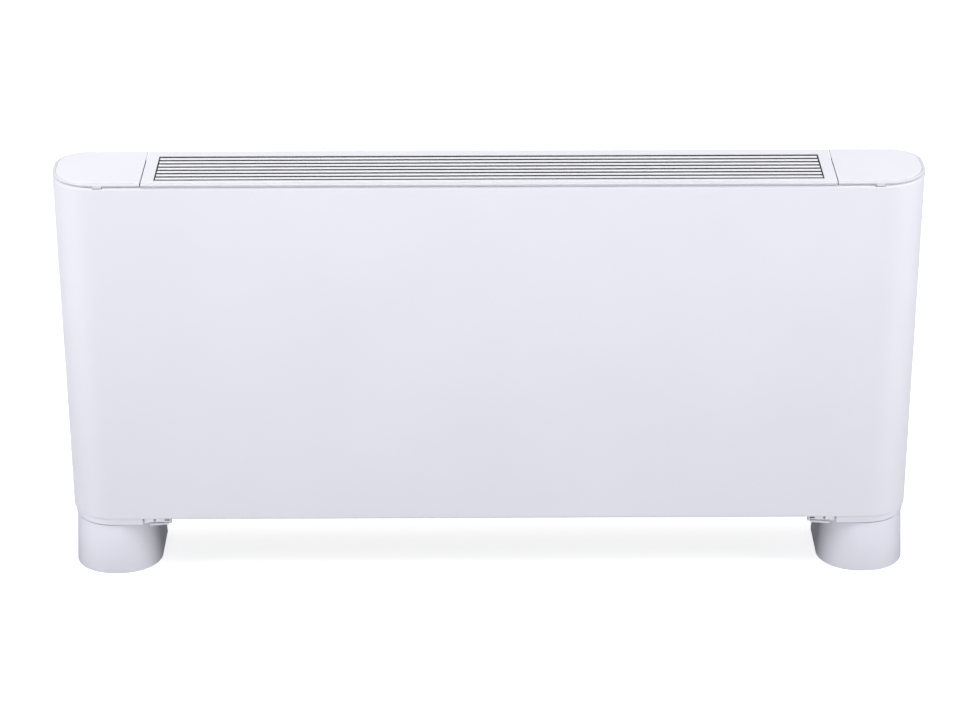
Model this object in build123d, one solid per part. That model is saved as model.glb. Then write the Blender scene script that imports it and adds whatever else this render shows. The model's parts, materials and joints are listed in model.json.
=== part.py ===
from build123d import *
import math
import os

# Floor-standing fan coil unit, all sizes in millimetres.
# The origin is on the floor under the middle of the casing.
# +X runs along the unit to the right, +Y points to the wall and +Z up.

# Casing
casing_width = 1360.0
casing_depth = 145.0
casing_height = 583.0
front_corner_radius = 68.0
rear_corner_radius = 50.0
panel_sheet = 1.2
panel_rim_radius = 4.0
panel_rim_width = 9.0
panel_bottom_chamfer = 1.0
panel_rim_inner_chamfer = 2.4
panel_bottom_return = 12.0
panel_rear_return = 18.0

# Top cover: one centre frame and two hinged end lids
cover_edge = 1.2
cover_slope_drop = 2.0
cover_slope_width = 5.2
cover_rear_gap = 2.0
groove_height = 3.3
groove_depth = 3.2
band_wall = 2.0
lid_length = 142.5
band_hinge_gap = 4.0
seam_gap = 1.6
lid_clearance = 0.3
tab_setback = 76.5
tab_width = 13.6
tab_depth = 1.2
tab_notch_gap = 0.8

# Lid hinges
hinge_setback = 6.0
hinge_pin_radius = 1.5
knuckle_radius = 3.5
knuckle_length = 52.0
knuckle_gap = 0.4
knuckle_setback = 116.0
hinge_swing_clearance = 0.5
ear_thickness = 3.0
ear_half_width = 2.4
hinge_plate_thickness = 1.5
hinge_plate_height = 26.0
hinge_plate_overhang = 9.0
hinge_plate_drop = 1.0
pin_running_clearance = 0.06
pin_seat_clearance = 0.02

# Outlet grille
opening_end_margin = 19.5
opening_rear_margin = 26.8
opening_front_margin = 15.0
opening_collar_wall = 2.0
ledge_width = 3.0
ledge_thickness = 2.0
bar_count = 7
bar_width = 8.0
bar_foot_width = 2.6
bar_straight = 2.4
bar_height = 15.0
bar_edge_chamfer = 0.7
bar_end_gap = 2.3
rib_count = 9
rib_thickness = 2.0
rib_drop = 7.0
grille_side_clearance = 0.3

# Base collars and feet
collar_height = 12.0
collar_inset = 5.0
collar_wall = 2.0
collar_length = 117.2
foot_height = 88.0
foot_flare = 5.0
foot_width = 140.5
foot_wall = 2.5
foot_top_plate = 3.0
pipe_hole_length = 84.0
pipe_hole_depth = 62.0
pipe_hole_corner = 16.0
foot_screw_margin = 18.25
foot_screw_rear_margin = 4.0

# Filter and its runners
filter_front_setback = 26.5
filter_end_margin = 31.8
filter_depth = 104.0
filter_thickness = 8.3
filter_rail = 12.0
filter_rib_count = 3
filter_rib_width = 5.0
filter_mesh_thickness = 1.2
filter_side_clearance = 1.0
filter_lift_clearance = 0.3
runner_sheet = 1.2
runner_lip = 11.0
runner_drop = 11.5
runner_plate_length = 44.4
runner_plate_front_setback = 22.5
runner_plate_drop = 22.6
runner_back_gap = 2.0
runner_collar_gap = 1.0
runner_bar_inner_margin = 4.1
runner_bar_outer_margin = 9.8
runner_bar_overlap = 1.0
runner_bar_height = 3.8
runner_bar_depth = 4.5
runner_hole_setback = 17.3
runner_hole_edge = 0.4
runner_hole_radius = 2.4
runner_slot_setback = 37.3
runner_slot_edge = 0.6
runner_slot_length = 8.0
runner_slot_height = 2.6

# Chassis
chassis_sheet = 1.2
chassis_end_setback = 54.0
chassis_top_drop = 16.0
chassis_flange = 12.0
side_plate_seam_gap = 7.5
side_plate_top_gap = 17.0
side_plate_low_gap = 1.0
side_plate_flange_lift = 20.0
side_plate_front_gap = 5.0
side_plate_flange = 28.0
wall_hole_radius = 5.0
wall_hole_end_setback = 230.0
wall_hole_low_margin = 50.0
wall_hole_top_margin = 43.0

# Cross-flow fan
fan_y = 0.0
fan_drop = 136.0
fan_outer_radius = 46.0
fan_inner_radius = 35.0
fan_end_gap = 24.0
fan_blade_count = 28
fan_blade_thickness = 1.0
fan_blade_sweep = 14.0
fan_blade_bulge = 1.6
fan_disc_thickness = 2.5
fan_ring_count = 1
fan_ring_thickness = 2.0
fan_ring_engagement = 1.5
fan_ring_width = 6.0
fan_hub_radius = 13.0
fan_hub_length = 10.0
fan_shaft_radius = 5.0
fan_wall_gap = 4.5
duct_sheet = 1.2
volute_start_angle = -52.0
volute_low_angle = -26.0
volute_low_growth = 2.5
volute_side_growth = 6.5
volute_shoulder_rise = 12.0
volute_shoulder_bow = 1.5
tongue_lip_drop = 6.0
tongue_low_drop = 13.0
tongue_low_setback = 7.0
tongue_curl_drop = 11.5
tongue_curl_setback = 2.2
tongue_bow = 0.6
tongue_bow_rise = 18.0

# Fan motor and bearing
motor_radius = 42.0
motor_length = 58.0
motor_edge_chamfer = 5.0
motor_boss_radius = 16.0
motor_boss_length = 8.0
motor_plate_radius = 50.0
motor_plate_thickness = 2.0
motor_standoff = 9.0
motor_arm_count = 3
motor_arm_radius = 5.0
motor_arm_circle_radius = 36.0
shaft_running_clearance = 0.05
shaft_bush_overhang = 3.0
shaft_motor_overhang = 6.0
bush_outer_radius = 11.0
bush_length = 14.0
bearing_ring_radius = 24.0
bearing_ring_thickness = 6.0
bearing_ring_sides = 12

# Heat exchanger
coil_fan_drop = 199.0
coil_tilt = 18.0
coil_height = 244.0
coil_thickness = 44.0
coil_end_gap = 32.0
fin_pitch = 30.0
fin_thickness = 2.4
fin_core_thickness = 12.0
tube_rows_gap = 22.0
tube_count = 6
tube_pitch = 40.0
tube_radius = 4.8
header_radius = 8.0
header_centre_gap = 13.0
header_overrun = 12.0
bend_straight = 3.0
coil_plate_margin = 3.0
coil_plate_fold = 12.0
connection_pipe_radius = 8.0
connection_pipe_clearance = 0.5
connection_offset = 70.0
hex_across_flats = 27.0
hex_length = 20.0
hex_stand_off = 14.0
thread_radius = 9.5
thread_depth = 15.0
vent_radius = 4.0
vent_length = 11.0
vent_key_radius = 2.2
vent_key_length = 5.0

# Condensate pans
pan_sheet = 2.0
pan_front_y = 8.0
pan_floor_drop = 9.0
pan_fall = 5.0
pan_front_height = 24.0
pan_rear_height = 30.0
spigot_radius = 8.0
spigot_bore_radius = 6.0
spigot_sill = 0.8
spigot_length = 34.0
spigot_flange_radius = 12.0
spigot_flange_depth = 2.0
valve_tray_drop = 45.0
valve_tray_length = 116.0
valve_tray_depth = 100.0
valve_tray_height = 18.0
valve_tray_corner = 12.0

# Electrical parts
box_length = 62.0
box_depth = 84.0
box_height = 120.0
box_fan_drop = 217.0
box_wall = 2.0
box_cover_thickness = 2.0
box_corner = 4.0
terminal_pitch = 11.0
terminal_count = 6
terminal_height = 14.0
terminal_depth = 22.0
terminal_wall = 1.5
terminal_well = 5.0
terminal_lift = 34.0
capacitor_radius = 14.0
capacitor_height = 46.0
gland_thread_radius = 8.0
gland_bore_radius = 5.0
gland_nut_radius = 12.0
gland_nut_height = 9.0
gland_dome_height = 7.0
gland_dome_inset = 2.5
gland_thread_height = 10.0
control_plate_drop = 20.5
control_plate_length = 112.0
control_plate_depth = 92.0
control_plate_sheet = 1.5
control_plate_corner = 6.0
control_box_length = 88.0
control_box_depth = 60.0
control_box_height = 34.0
control_box_corner = 4.0
knob_spacing = 46.0
knob_radius = 15.0
knob_height = 12.0
knob_skirt_height = 3.0
knob_top_radius = 11.5
knob_side_count = 12
pointer_width = 1.6
pointer_start = 3.0
pointer_height = 0.8
knob_spindle_radius = 3.0
knob_spindle_length = 16.0
knob_spindle_end_gap = 1.0
knob_plate_clearance = 0.4

# Hexagon screws
screw_head_radius = 4.0
screw_head_height = 2.4
panel_screw_margin = 60.0

half_width = casing_width / 2
front_y = -casing_depth / 2
wall_y = casing_depth / 2
panel_bottom_z = foot_height + collar_height
top_z = panel_bottom_z + casing_height
cover_thickness = cover_edge + cover_slope_drop
cover_under_z = top_z - cover_thickness
rim_top_z = cover_under_z - groove_height
cover_rear_y = wall_y - cover_rear_gap
chassis_back_y = wall_y - panel_sheet
chassis_face_y = chassis_back_y - chassis_sheet
chassis_top_z = top_z - chassis_top_drop
hinge_y = cover_rear_y - hinge_setback
hinge_z = cover_under_z - knuckle_radius
seam_x = half_width - lid_length
tab_x = half_width - tab_setback
knuckle_x = knuckle_setback - half_width
opening_length = 2 * (seam_x - opening_end_margin)
opening_front_y = front_y + opening_front_margin
opening_rear_y = wall_y - opening_rear_margin
chassis_half_width = half_width - chassis_end_setback
side_plate_x = seam_x - side_plate_seam_gap
side_plate_outer_x = side_plate_x + chassis_sheet
side_plate_front_y = front_y + panel_sheet + side_plate_front_gap
side_plate_top_z = top_z - cover_thickness - side_plate_top_gap
fan_half_length = side_plate_x - fan_end_gap
coil_half_length = side_plate_x - coil_end_gap
fan_z = top_z - fan_drop
coil_z = fan_z - coil_fan_drop
box_z = fan_z - box_fan_drop
control_z = top_z - control_plate_drop
control_x = side_plate_outer_x + control_plate_length / 2
foot_mid_x = half_width - foot_width / 2
foot_half_width = foot_width / 2
foot_screw_reach = foot_half_width - foot_screw_margin
collar_inner_x = half_width - collar_length
runner_plate_inner_x = collar_inner_x - runner_plate_length
filter_length = 2 * (collar_inner_x - filter_end_margin)


def block(x0, x1, y0, y1, z0, z1):
    """A rectangular solid between two corners."""
    middle = Pos((x0 + x1) / 2, (y0 + y1) / 2, (z0 + z1) / 2)
    return middle * Box(x1 - x0, y1 - y0, z1 - z0)


def rod(radius, x0, x1, y, z):
    """A round bar along X."""
    return Pos((x0 + x1) / 2, y, z) * Rot(0, 90, 0) * Cylinder(radius, x1 - x0)


def post(radius, x, y, z0, z1):
    """A round bar along Z."""
    return Pos(x, y, (z0 + z1) / 2) * Cylinder(radius, z1 - z0)


def stud(radius, x, y0, y1, z):
    """A round bar along Y."""
    return Pos(x, (y0 + y1) / 2, z) * Rot(90, 0, 0) * Cylinder(radius, y1 - y0)


def prism(sides, radius, x, y, z0, z1):
    """An upright bar with flat sides."""
    return Pos(x, y, z0) * extrude(RegularPolygon(radius, sides), amount=z1 - z0)


def along_x(section, x0, x1):
    """A solid with one section in Y and Z, from x0 to x1."""
    return extrude(Plane.YZ.offset(x0) * section, amount=x1 - x0, dir=(1, 0, 0))


def other_side(shape):
    """The same piece for the other end of the unit."""
    return mirror(shape, about=Plane.YZ)


def plan_face(inset):
    """Outline of the casing from above, moved inwards."""
    face = Rectangle(casing_width - 2 * inset, casing_depth - 2 * inset)
    face = fillet(face.vertices().group_by(Axis.Y)[0], front_corner_radius - inset)
    return fillet(face.vertices().group_by(Axis.Y)[-1], rear_corner_radius - inset)


def plan_solid(inset, z0, z1):
    """The casing's outline as an upright solid."""
    return Pos(0, 0, z0) * extrude(plan_face(inset), amount=z1 - z0)


def beyond(x_limit, z0, z1):
    """Everything left of a plane across the unit."""
    return block(-half_width - 1, x_limit, front_y - 1, wall_y + 1, z0, z1)


# Casing and top cover


def make_front_panel():
    """One folded sheet: the front, both round ends and the rear returns."""
    outer = plan_solid(0, panel_bottom_z, rim_top_z)
    outer = fillet(outer.edges().group_by(Axis.Z)[-1], panel_rim_radius)
    outer = chamfer(outer.edges().group_by(Axis.Z)[0], panel_bottom_chamfer)
    inner = plan_solid(panel_sheet, panel_bottom_z + panel_sheet, rim_top_z - panel_sheet)
    inner = chamfer(inner.edges().group_by(Axis.Z)[-1], panel_rim_inner_chamfer)
    panel = outer - inner
    overrun = panel_rim_radius
    panel -= plan_solid(panel_rim_width, rim_top_z - overrun, rim_top_z + overrun)
    panel -= plan_solid(panel_bottom_return, panel_bottom_z - overrun, panel_bottom_z + overrun)
    back_half = half_width - rear_corner_radius - panel_rear_return
    back_y = wall_y - panel_bottom_return - panel_sheet
    panel -= block(-back_half, back_half, back_y, wall_y + 1, panel_bottom_z - 1, rim_top_z + 1)
    swing = math.hypot(hinge_setback, cover_edge + knuckle_radius) + hinge_swing_clearance
    panel -= block(-half_width, half_width, hinge_y - swing, wall_y + 1, hinge_z - swing, rim_top_z + 1)
    notch_half = tab_width / 2 + tab_notch_gap
    notch_z = rim_top_z - tab_depth - tab_notch_gap
    for x in (-tab_x, tab_x):
        notch_back = front_y + panel_rim_width + 1
        panel -= block(x - notch_half, x + notch_half, front_y - 1, notch_back, notch_z, rim_top_z + 1)
    return panel


def cover_plate():
    """The whole top cover, with its sloped margin, before it is parted at the seams."""
    plate = plan_solid(0, cover_under_z, top_z)
    crown = plate.faces().sort_by(Axis.Z)[-1]
    plate = chamfer(crown.edges(), cover_slope_width, cover_slope_drop, reference=crown)
    return plate - block(-half_width, half_width, cover_rear_y, wall_y + 1, cover_under_z - 1, top_z + 1)


def cover_band(z0):
    """The wall that stands back under the cover's edge."""
    band = plan_solid(groove_depth, z0, cover_under_z)
    return band - plan_solid(groove_depth + band_wall, z0, cover_under_z)


def make_left_lid():
    """Hinged end lid with its finger tab and its long knuckle."""
    edge_x = -(seam_x + seam_gap / 2)
    lid = cover_plate() + cover_band(rim_top_z + lid_clearance)
    lid &= beyond(edge_x, rim_top_z, top_z + 1)
    band_end_y = hinge_y - knuckle_radius - band_hinge_gap
    lid -= block(-half_width, edge_x, band_end_y, wall_y, rim_top_z - 1, cover_under_z)
    tab_half = tab_width / 2
    tab = block(-tab_x - tab_half, -tab_x + tab_half, front_y, front_y + groove_depth + band_wall,
                rim_top_z - tab_depth, cover_under_z)
    lid += chamfer(tab.edges().filter_by(Axis.Y).group_by(Axis.Z)[0], 0.9 * tab_depth)
    end = knuckle_x - knuckle_length
    lid += rod(knuckle_radius, end, knuckle_x, hinge_y, hinge_z)
    lid += block(end, knuckle_x, hinge_y - knuckle_radius, hinge_y, hinge_z, cover_under_z)
    return lid - rod(hinge_pin_radius + pin_running_clearance, end - 1, knuckle_x + 1, hinge_y, hinge_z)


def ear_spans():
    """Where the two ears stand beside the left lid's knuckle, along X."""
    inner = knuckle_x + knuckle_gap
    outer = knuckle_x - knuckle_length - knuckle_gap
    return [(inner, inner + ear_thickness), (outer - ear_thickness, outer)]


def make_left_hinge_bracket():
    """Plate on the chassis with two ears for the lid's pin."""
    plate_back = chassis_face_y
    plate_front = plate_back - hinge_plate_thickness
    plate_top = chassis_top_z - hinge_plate_drop
    plate_low = plate_top - hinge_plate_height
    spans = ear_spans()
    plate_x1 = spans[0][1] + hinge_plate_overhang
    bracket = block(-chassis_half_width, plate_x1, plate_front, plate_back, plate_low, plate_top)
    for x0, x1 in spans:
        bracket += block(x0, x1, hinge_y - ear_half_width, hinge_y + ear_half_width,
                         plate_low, hinge_z + ear_half_width)
        bracket += block(x0, x1, hinge_y, plate_front, plate_low, plate_top)
        bracket -= rod(hinge_pin_radius + pin_seat_clearance, x0 - 1, x1 + 1, hinge_y, hinge_z)
    return bracket


def make_hinge_pins():
    """One pin through each lid's knuckle and ears."""
    (_, inner), (outer, _) = ear_spans()
    pin = rod(hinge_pin_radius, outer, inner, hinge_y, hinge_z)
    return Compound(children=[pin, other_side(pin)])


def make_top_frame():
    """Centre part of the top cover, with the outlet and its collar."""
    half = seam_x - seam_gap / 2
    frame = cover_plate() + cover_band(rim_top_z)
    frame &= block(-half, half, front_y - 1, wall_y, rim_top_z, top_z + 1)
    band_back_y = cover_rear_y - groove_depth - band_wall - 1
    frame -= block(-half, half, band_back_y, wall_y, rim_top_z - 1, cover_under_z)
    rear_wall_y = chassis_face_y
    rear_span = side_plate_x
    frame += block(-rear_span, rear_span, rear_wall_y - band_wall, rear_wall_y, chassis_top_z, cover_under_z)
    ledge_z = top_z - bar_height
    collar_low = ledge_z - ledge_thickness
    reach = opening_length / 2
    wall = opening_collar_wall
    frame += block(-reach - wall, reach + wall, opening_front_y - wall, opening_rear_y + wall,
                   collar_low, cover_under_z)
    frame -= block(-reach, reach, opening_front_y, opening_rear_y, ledge_z, top_z + 1)
    frame -= block(-reach, reach, opening_front_y + ledge_width, opening_rear_y - ledge_width,
                   collar_low - 1, ledge_z + 1)
    return frame


def bar_section():
    """Section of one grille bar: a flat crown that narrows downwards."""
    crown = bar_width / 2
    toe = bar_foot_width / 2
    edge = bar_edge_chamfer
    half = [(crown - edge, 0), (crown, -edge), (crown, -bar_straight), (toe, -bar_height)]
    other_half = [(-y, z) for y, z in reversed(half)]
    return Polygon(*half, *other_half, align=None)


def make_outlet_grille():
    """Seven long bars on cross ribs, seated on the frame's ledges."""
    reach = opening_length / 2 - bar_end_gap
    gap = (opening_rear_y - opening_front_y - bar_count * bar_width) / (bar_count + 1)
    section = bar_section()
    grille = None
    for index in range(bar_count):
        y = opening_front_y + gap + bar_width / 2 + index * (gap + bar_width)
        bar = along_x(Pos(y, top_z) * section, -reach, reach)
        grille = bar if grille is None else grille + bar
    rib_front = opening_front_y + grille_side_clearance
    rib_rear = opening_rear_y - grille_side_clearance
    spacing = (2 * reach - rib_thickness) / (rib_count - 1)
    for index in range(rib_count):
        x = -reach + index * spacing
        grille += block(x, x + rib_thickness, rib_front, rib_rear, top_z - bar_height, top_z - rib_drop)
    return grille


# Base: collars, feet, runners and filter


def pipe_hole(z0, z1):
    """The passage for pipes through the left collar and foot."""
    face = Rectangle(pipe_hole_length, pipe_hole_depth)
    face = chamfer(face.vertices(), pipe_hole_corner)
    return Pos(-foot_mid_x, 0, z0) * extrude(face, amount=z1 - z0)


def foot_screw_places():
    """Where the left foot is screwed up to its collar."""
    y = foot_front_inset_y() + foot_half_width
    return [(-foot_mid_x - foot_screw_reach, y), (-foot_mid_x, y + foot_screw_reach - foot_screw_rear_margin)]


def foot_front_inset_y():
    """The front of the foot at its top."""
    return front_y + foot_flare


def make_left_collar():
    """Shallow tray that closes the end of the casing over the foot."""
    z1 = panel_bottom_z
    z0 = foot_height
    collar = plan_solid(collar_inset, z0, z1) & beyond(-collar_inner_x, z0, z1)
    hollow = plan_solid(collar_inset + collar_wall, z0 + collar_wall, z1 + 1)
    hollow &= beyond(-collar_inner_x - collar_wall, z0, z1 + 1)
    collar -= hollow
    return collar - pipe_hole(z0 - 1, z1)


def foot_form(inset, height):
    """Flared upright form of the foot: a half round nose with straight sides."""
    low = foot_half_width - inset
    lean = foot_flare * height / foot_height
    high = low - lean
    nose_y = front_y + foot_half_width
    nose = Pos(0, nose_y, height / 2) * Cone(low, high, height)
    side = Polygon((-low, 0), (low, 0), (high, height), (-high, height), align=None)
    tail = extrude(Plane.XZ.offset(-wall_y) * side, amount=wall_y - nose_y)
    return Pos(-foot_mid_x, 0, 0) * (nose + tail)


def make_left_foot():
    """Moulded hollow foot, open to the floor and to the wall for pipes."""
    under = foot_height - foot_top_plate
    foot = foot_form(0, foot_height) - foot_form(foot_wall, under)
    return foot - pipe_hole(under - 1, foot_height + 1)


def make_foot_screws():
    """Heads of the two screws that hold each foot up to its collar."""
    screws = []
    under = foot_height - foot_top_plate
    for x, y in foot_screw_places():
        head = prism(6, screw_head_radius, x, y, under - screw_head_height, under)
        screws.append(head)
        screws.append(other_side(head))
    return Compound(children=screws)


def filter_low_z():
    """Underside of the filter in its runners."""
    return panel_bottom_z - runner_drop + runner_sheet + filter_lift_clearance


def make_left_runner():
    """Folded channel that carries the filter's end, with its front plate."""
    top = panel_bottom_z
    web_inner = -filter_length / 2 - filter_side_clearance
    web_outer = web_inner - runner_sheet
    y0 = front_y + runner_plate_front_setback
    y1 = front_y + filter_front_setback + filter_depth + runner_back_gap
    lip_z = top - runner_drop
    runner = block(web_outer, web_inner, y0, y1, lip_z, top)
    runner += block(-collar_inner_x + runner_collar_gap, web_inner, y0, y1, top - runner_sheet, top)
    runner += block(web_outer, web_inner + runner_lip, y0, y1, lip_z, lip_z + runner_sheet)
    runner += block(web_outer, web_inner, y1 - runner_sheet, y1, lip_z, top)
    plate_low = top - runner_plate_drop
    plate_y1 = y0 + runner_sheet
    runner += block(-collar_inner_x, -runner_plate_inner_x, y0, plate_y1, plate_low, lip_z + runner_sheet)
    runner += block(-collar_inner_x, web_inner, y0, plate_y1, lip_z, top)
    bar_y0 = y0 - runner_bar_depth + runner_sheet
    bar_top = plate_low + runner_bar_overlap
    bar = block(-collar_inner_x + runner_bar_outer_margin, -runner_plate_inner_x - runner_bar_inner_margin,
                bar_y0, plate_y1, bar_top - runner_bar_height, bar_top)
    runner += chamfer(bar.edges().filter_by(Axis.Y), 0.3 * runner_bar_height)
    hole_x = -collar_inner_x + runner_hole_setback
    hole_z = lip_z - runner_hole_radius - runner_hole_edge
    runner -= stud(runner_hole_radius, hole_x, y0 - 1, plate_y1 + 1, hole_z)
    slot_x = -collar_inner_x + runner_slot_setback
    slot_half = runner_slot_length / 2
    slot_top = lip_z - runner_slot_edge
    runner -= block(slot_x - slot_half, slot_x + slot_half, y0 - 1, plate_y1 + 1,
                    slot_top - runner_slot_height, slot_top)
    return runner


def make_filter_frame():
    """Stiff frame of the air filter with its cross ribs and grips."""
    z0 = filter_low_z()
    y0 = front_y + filter_front_setback
    y1 = y0 + filter_depth
    half = filter_length / 2
    frame = block(-half, half, y0, y1, z0, z0 + filter_thickness)
    frame -= block(-half + filter_rail, half - filter_rail, y0 + filter_rail, y1 - filter_rail,
                   z0 - 1, z0 + filter_thickness + 1)
    spacing = filter_length / (filter_rib_count + 1)
    for index in range(filter_rib_count):
        x = -half + (index + 1) * spacing
        frame += block(x - filter_rib_width / 2, x + filter_rib_width / 2, y0 + filter_rail, y1 - filter_rail,
                       z0, z0 + filter_thickness / 3)
    return frame


def make_filter_mesh():
    """The woven filter cloth, laid on the frame's ribs."""
    z0 = filter_low_z() + filter_thickness / 3
    y0 = front_y + filter_front_setback + filter_rail
    half = filter_length / 2 - filter_rail
    return block(-half, half, y0, y0 + filter_depth - 2 * filter_rail, z0, z0 + filter_mesh_thickness)


# Chassis


def wall_hole_places():
    """Centres of the four wall fixing holes."""
    places = []
    reach = half_width - wall_hole_end_setback
    for x in (-reach, reach):
        for z in (panel_bottom_z + wall_hole_low_margin, top_z - wall_hole_top_margin):
            places.append((x, z))
    return places


def make_rear_chassis():
    """Folded back plate that hangs on the wall and carries the rest."""
    half = chassis_half_width
    back = block(-half, half, chassis_face_y, chassis_back_y, panel_bottom_z + panel_sheet, chassis_top_z)
    reach = side_plate_x
    fold = chassis_sheet
    flange_y = chassis_face_y - chassis_flange
    back += block(-reach, reach, flange_y, chassis_back_y, chassis_top_z - fold, chassis_top_z)
    for x, z in wall_hole_places():
        back -= stud(wall_hole_radius, x, chassis_face_y - 1, chassis_back_y + 1, z)
    return back


def make_left_side_plate():
    """Bulkhead between the air section and the left end space."""
    z0 = panel_bottom_z
    x0 = -side_plate_outer_x
    x1 = -side_plate_x
    y0 = side_plate_front_y
    y1 = chassis_face_y
    plate = block(x0, x1, y0, y1, z0, side_plate_top_z)
    low_y0 = front_y + panel_bottom_return + side_plate_low_gap
    plate -= block(x0 - 1, x1 + 1, y0 - 1, low_y0, z0 - 1, z0 + panel_sheet + side_plate_low_gap)
    plate += block(x0 - side_plate_flange, x1, low_y0, y1, z0, z0 + chassis_sheet)
    flange_low_z = z0 + side_plate_flange_lift
    plate += block(x0 - chassis_flange, x1, y0, y0 + chassis_sheet, flange_low_z, side_plate_top_z)
    return plate


def drill_left_side_plate(plate):
    """Holes for the fan bearing, both water pipes and the drain."""
    x0 = -side_plate_outer_x - 1
    x1 = -side_plate_x + 1
    plate -= rod(bush_outer_radius, x0, x1, fan_y, fan_z)
    for y, z in connection_places():
        plate -= rod(connection_pipe_radius + connection_pipe_clearance, x0, x1, y, z)
    y, z = spigot_place()
    plate -= rod(spigot_radius, x0, x1, y, z)
    return plate


def drill_right_side_plate(plate):
    """Clearance hole for the motor shaft."""
    return plate - rod(fan_hub_radius, side_plate_x - 1, side_plate_outer_x + 1, fan_y, fan_z)


# Fan


def blade_section():
    """Section of one cambered fan blade, thin and bent once at its middle."""
    swept = math.radians(fan_blade_sweep)
    inner = (fan_inner_radius, 0.0)
    outer = (fan_outer_radius * math.cos(swept), fan_outer_radius * math.sin(swept))
    chord = math.hypot(outer[0] - inner[0], outer[1] - inner[1])
    across = (-(outer[1] - inner[1]) / chord, (outer[0] - inner[0]) / chord)
    middle = ((inner[0] + outer[0]) / 2, (inner[1] + outer[1]) / 2)

    def shifted(point, amount):
        return (point[0] + across[0] * amount, point[1] + across[1] * amount)

    thin = fan_blade_thickness
    belly = [inner, shifted(middle, -fan_blade_bulge), outer]
    back = [shifted(outer, thin), shifted(middle, thin - fan_blade_bulge), shifted(inner, thin)]
    return Polygon(*belly, *back, align=None)


def make_fan_rotor():
    """Cross-flow rotor: curved blades between end discs, held by rings."""
    blade = along_x(blade_section(), -fan_half_length, fan_half_length)
    step = 360.0 / fan_blade_count
    rotor = None
    for side in (-1, 1):
        near = side * fan_half_length
        far = near + side * fan_disc_thickness
        disc = rod(fan_outer_radius, min(near, far), max(near, far), 0, 0)
        hub_end = near + side * fan_hub_length
        disc += rod(fan_hub_radius, min(near, hub_end), max(near, hub_end), 0, 0)
        rotor = disc if rotor is None else rotor + disc
    ring_outer = fan_inner_radius + fan_ring_engagement
    spacing = 2 * fan_half_length / (fan_ring_count + 1)
    for index in range(fan_ring_count):
        x = -fan_half_length + (index + 1) * spacing
        ring = rod(ring_outer, x, x + fan_ring_thickness, 0, 0)
        ring -= rod(ring_outer - fan_ring_width, x - 1, x + fan_ring_thickness + 1, 0, 0)
        rotor += ring
    blades = [Rot(index * step, 0, 0) * blade for index in range(fan_blade_count)]
    rotor = rotor + blades
    bore = rod(fan_shaft_radius, -2 * fan_half_length, 2 * fan_half_length, 0, 0)
    return Pos(0, fan_y, fan_z) * (rotor - bore)


def bush_outer_x():
    """Outer end of the fan's bearing bush."""
    return -side_plate_outer_x - bush_length + chassis_sheet


def make_bearing_shaft():
    """Stub shaft in the rotor's left hub."""
    inner = -fan_half_length + fan_disc_thickness
    return rod(fan_shaft_radius, bush_outer_x() - shaft_bush_overhang, inner, fan_y, fan_z)


def make_motor_shaft():
    """Motor shaft in the rotor's right hub."""
    start = fan_half_length - fan_disc_thickness
    end = side_plate_outer_x + motor_standoff + motor_length + shaft_motor_overhang
    return rod(fan_shaft_radius, start, end, fan_y, fan_z)


def make_bearing_bush():
    """Sintered bush in the left side plate."""
    x0 = bush_outer_x()
    bush = rod(bush_outer_radius, x0, -side_plate_x, fan_y, fan_z)
    return bush - rod(fan_shaft_radius + shaft_running_clearance, x0 - 1, 0, fan_y, fan_z)


def make_bearing_ring():
    """Rubber ring that cushions the bush on the left side plate."""
    x1 = -side_plate_outer_x
    x0 = x1 - bearing_ring_thickness
    face = Pos(fan_y, fan_z) * RegularPolygon(bearing_ring_radius, bearing_ring_sides)
    ring = along_x(face, x0, x1)
    return ring - rod(bush_outer_radius, x0 - 1, x1 + 1, fan_y, fan_z)


def make_motor_plate():
    """Eight-sided mounting plate with three hexagon posts."""
    x0 = side_plate_outer_x
    x1 = x0 + motor_standoff
    face = Pos(fan_y, fan_z) * RegularPolygon(motor_plate_radius, 8, rotation=22.5)
    plate = along_x(face, x1 - motor_plate_thickness, x1)
    plate -= rod(fan_hub_radius, x0 - 1, x1 + 1, fan_y, fan_z)
    for index in range(motor_arm_count):
        angle = math.radians(90 + index * 360 / motor_arm_count)
        y = fan_y + motor_arm_circle_radius * math.cos(angle)
        z = fan_z + motor_arm_circle_radius * math.sin(angle)
        arm = Pos(y, z) * RegularPolygon(motor_arm_radius, 6)
        plate += along_x(arm, x0, x1)
    return plate


def make_fan_motor():
    """Closed motor can with its bearing boss and shaft bore."""
    x0 = side_plate_outer_x + motor_standoff
    x1 = x0 + motor_length
    can = rod(motor_radius, x0, x1, fan_y, fan_z)
    can = chamfer(can.edges().group_by(Axis.X)[-1], motor_edge_chamfer)
    can += rod(motor_boss_radius, x1, x1 + motor_boss_length, fan_y, fan_z)
    bore_end = x1 + motor_boss_length + 1
    bore = rod(fan_shaft_radius + shaft_running_clearance, x0 - 1, bore_end, fan_y, fan_z)
    return can - bore


def duct_top_z():
    """Top of the fan's air duct, just under the grille's collar."""
    return top_z - bar_height - ledge_thickness


def make_fan_volute():
    """Rear guide sheet: a spiral round the rotor that opens into the outlet."""
    gap = fan_outer_radius + fan_wall_gap

    def on_spiral(degrees, radius):
        angle = math.radians(degrees)
        return (fan_y + radius * math.cos(angle), fan_z + radius * math.sin(angle))

    start = on_spiral(volute_start_angle, gap)
    low = on_spiral(volute_low_angle, gap + volute_low_growth)
    side = on_spiral(0, gap + volute_side_growth)
    outlet_y = opening_rear_y + opening_collar_wall / 2
    shoulder = (outlet_y, fan_z + fan_outer_radius + volute_shoulder_rise)
    bend = (side[0] - volute_shoulder_bow, (side[1] + shoulder[1]) / 2)
    path = Curve() + [
        ThreePointArc(start, low, side),
        ThreePointArc(side, bend, shoulder),
        Line(shoulder, (outlet_y, duct_top_z())),
    ]
    return along_x(trace(path, duct_sheet), -side_plate_x, side_plate_x)


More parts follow.
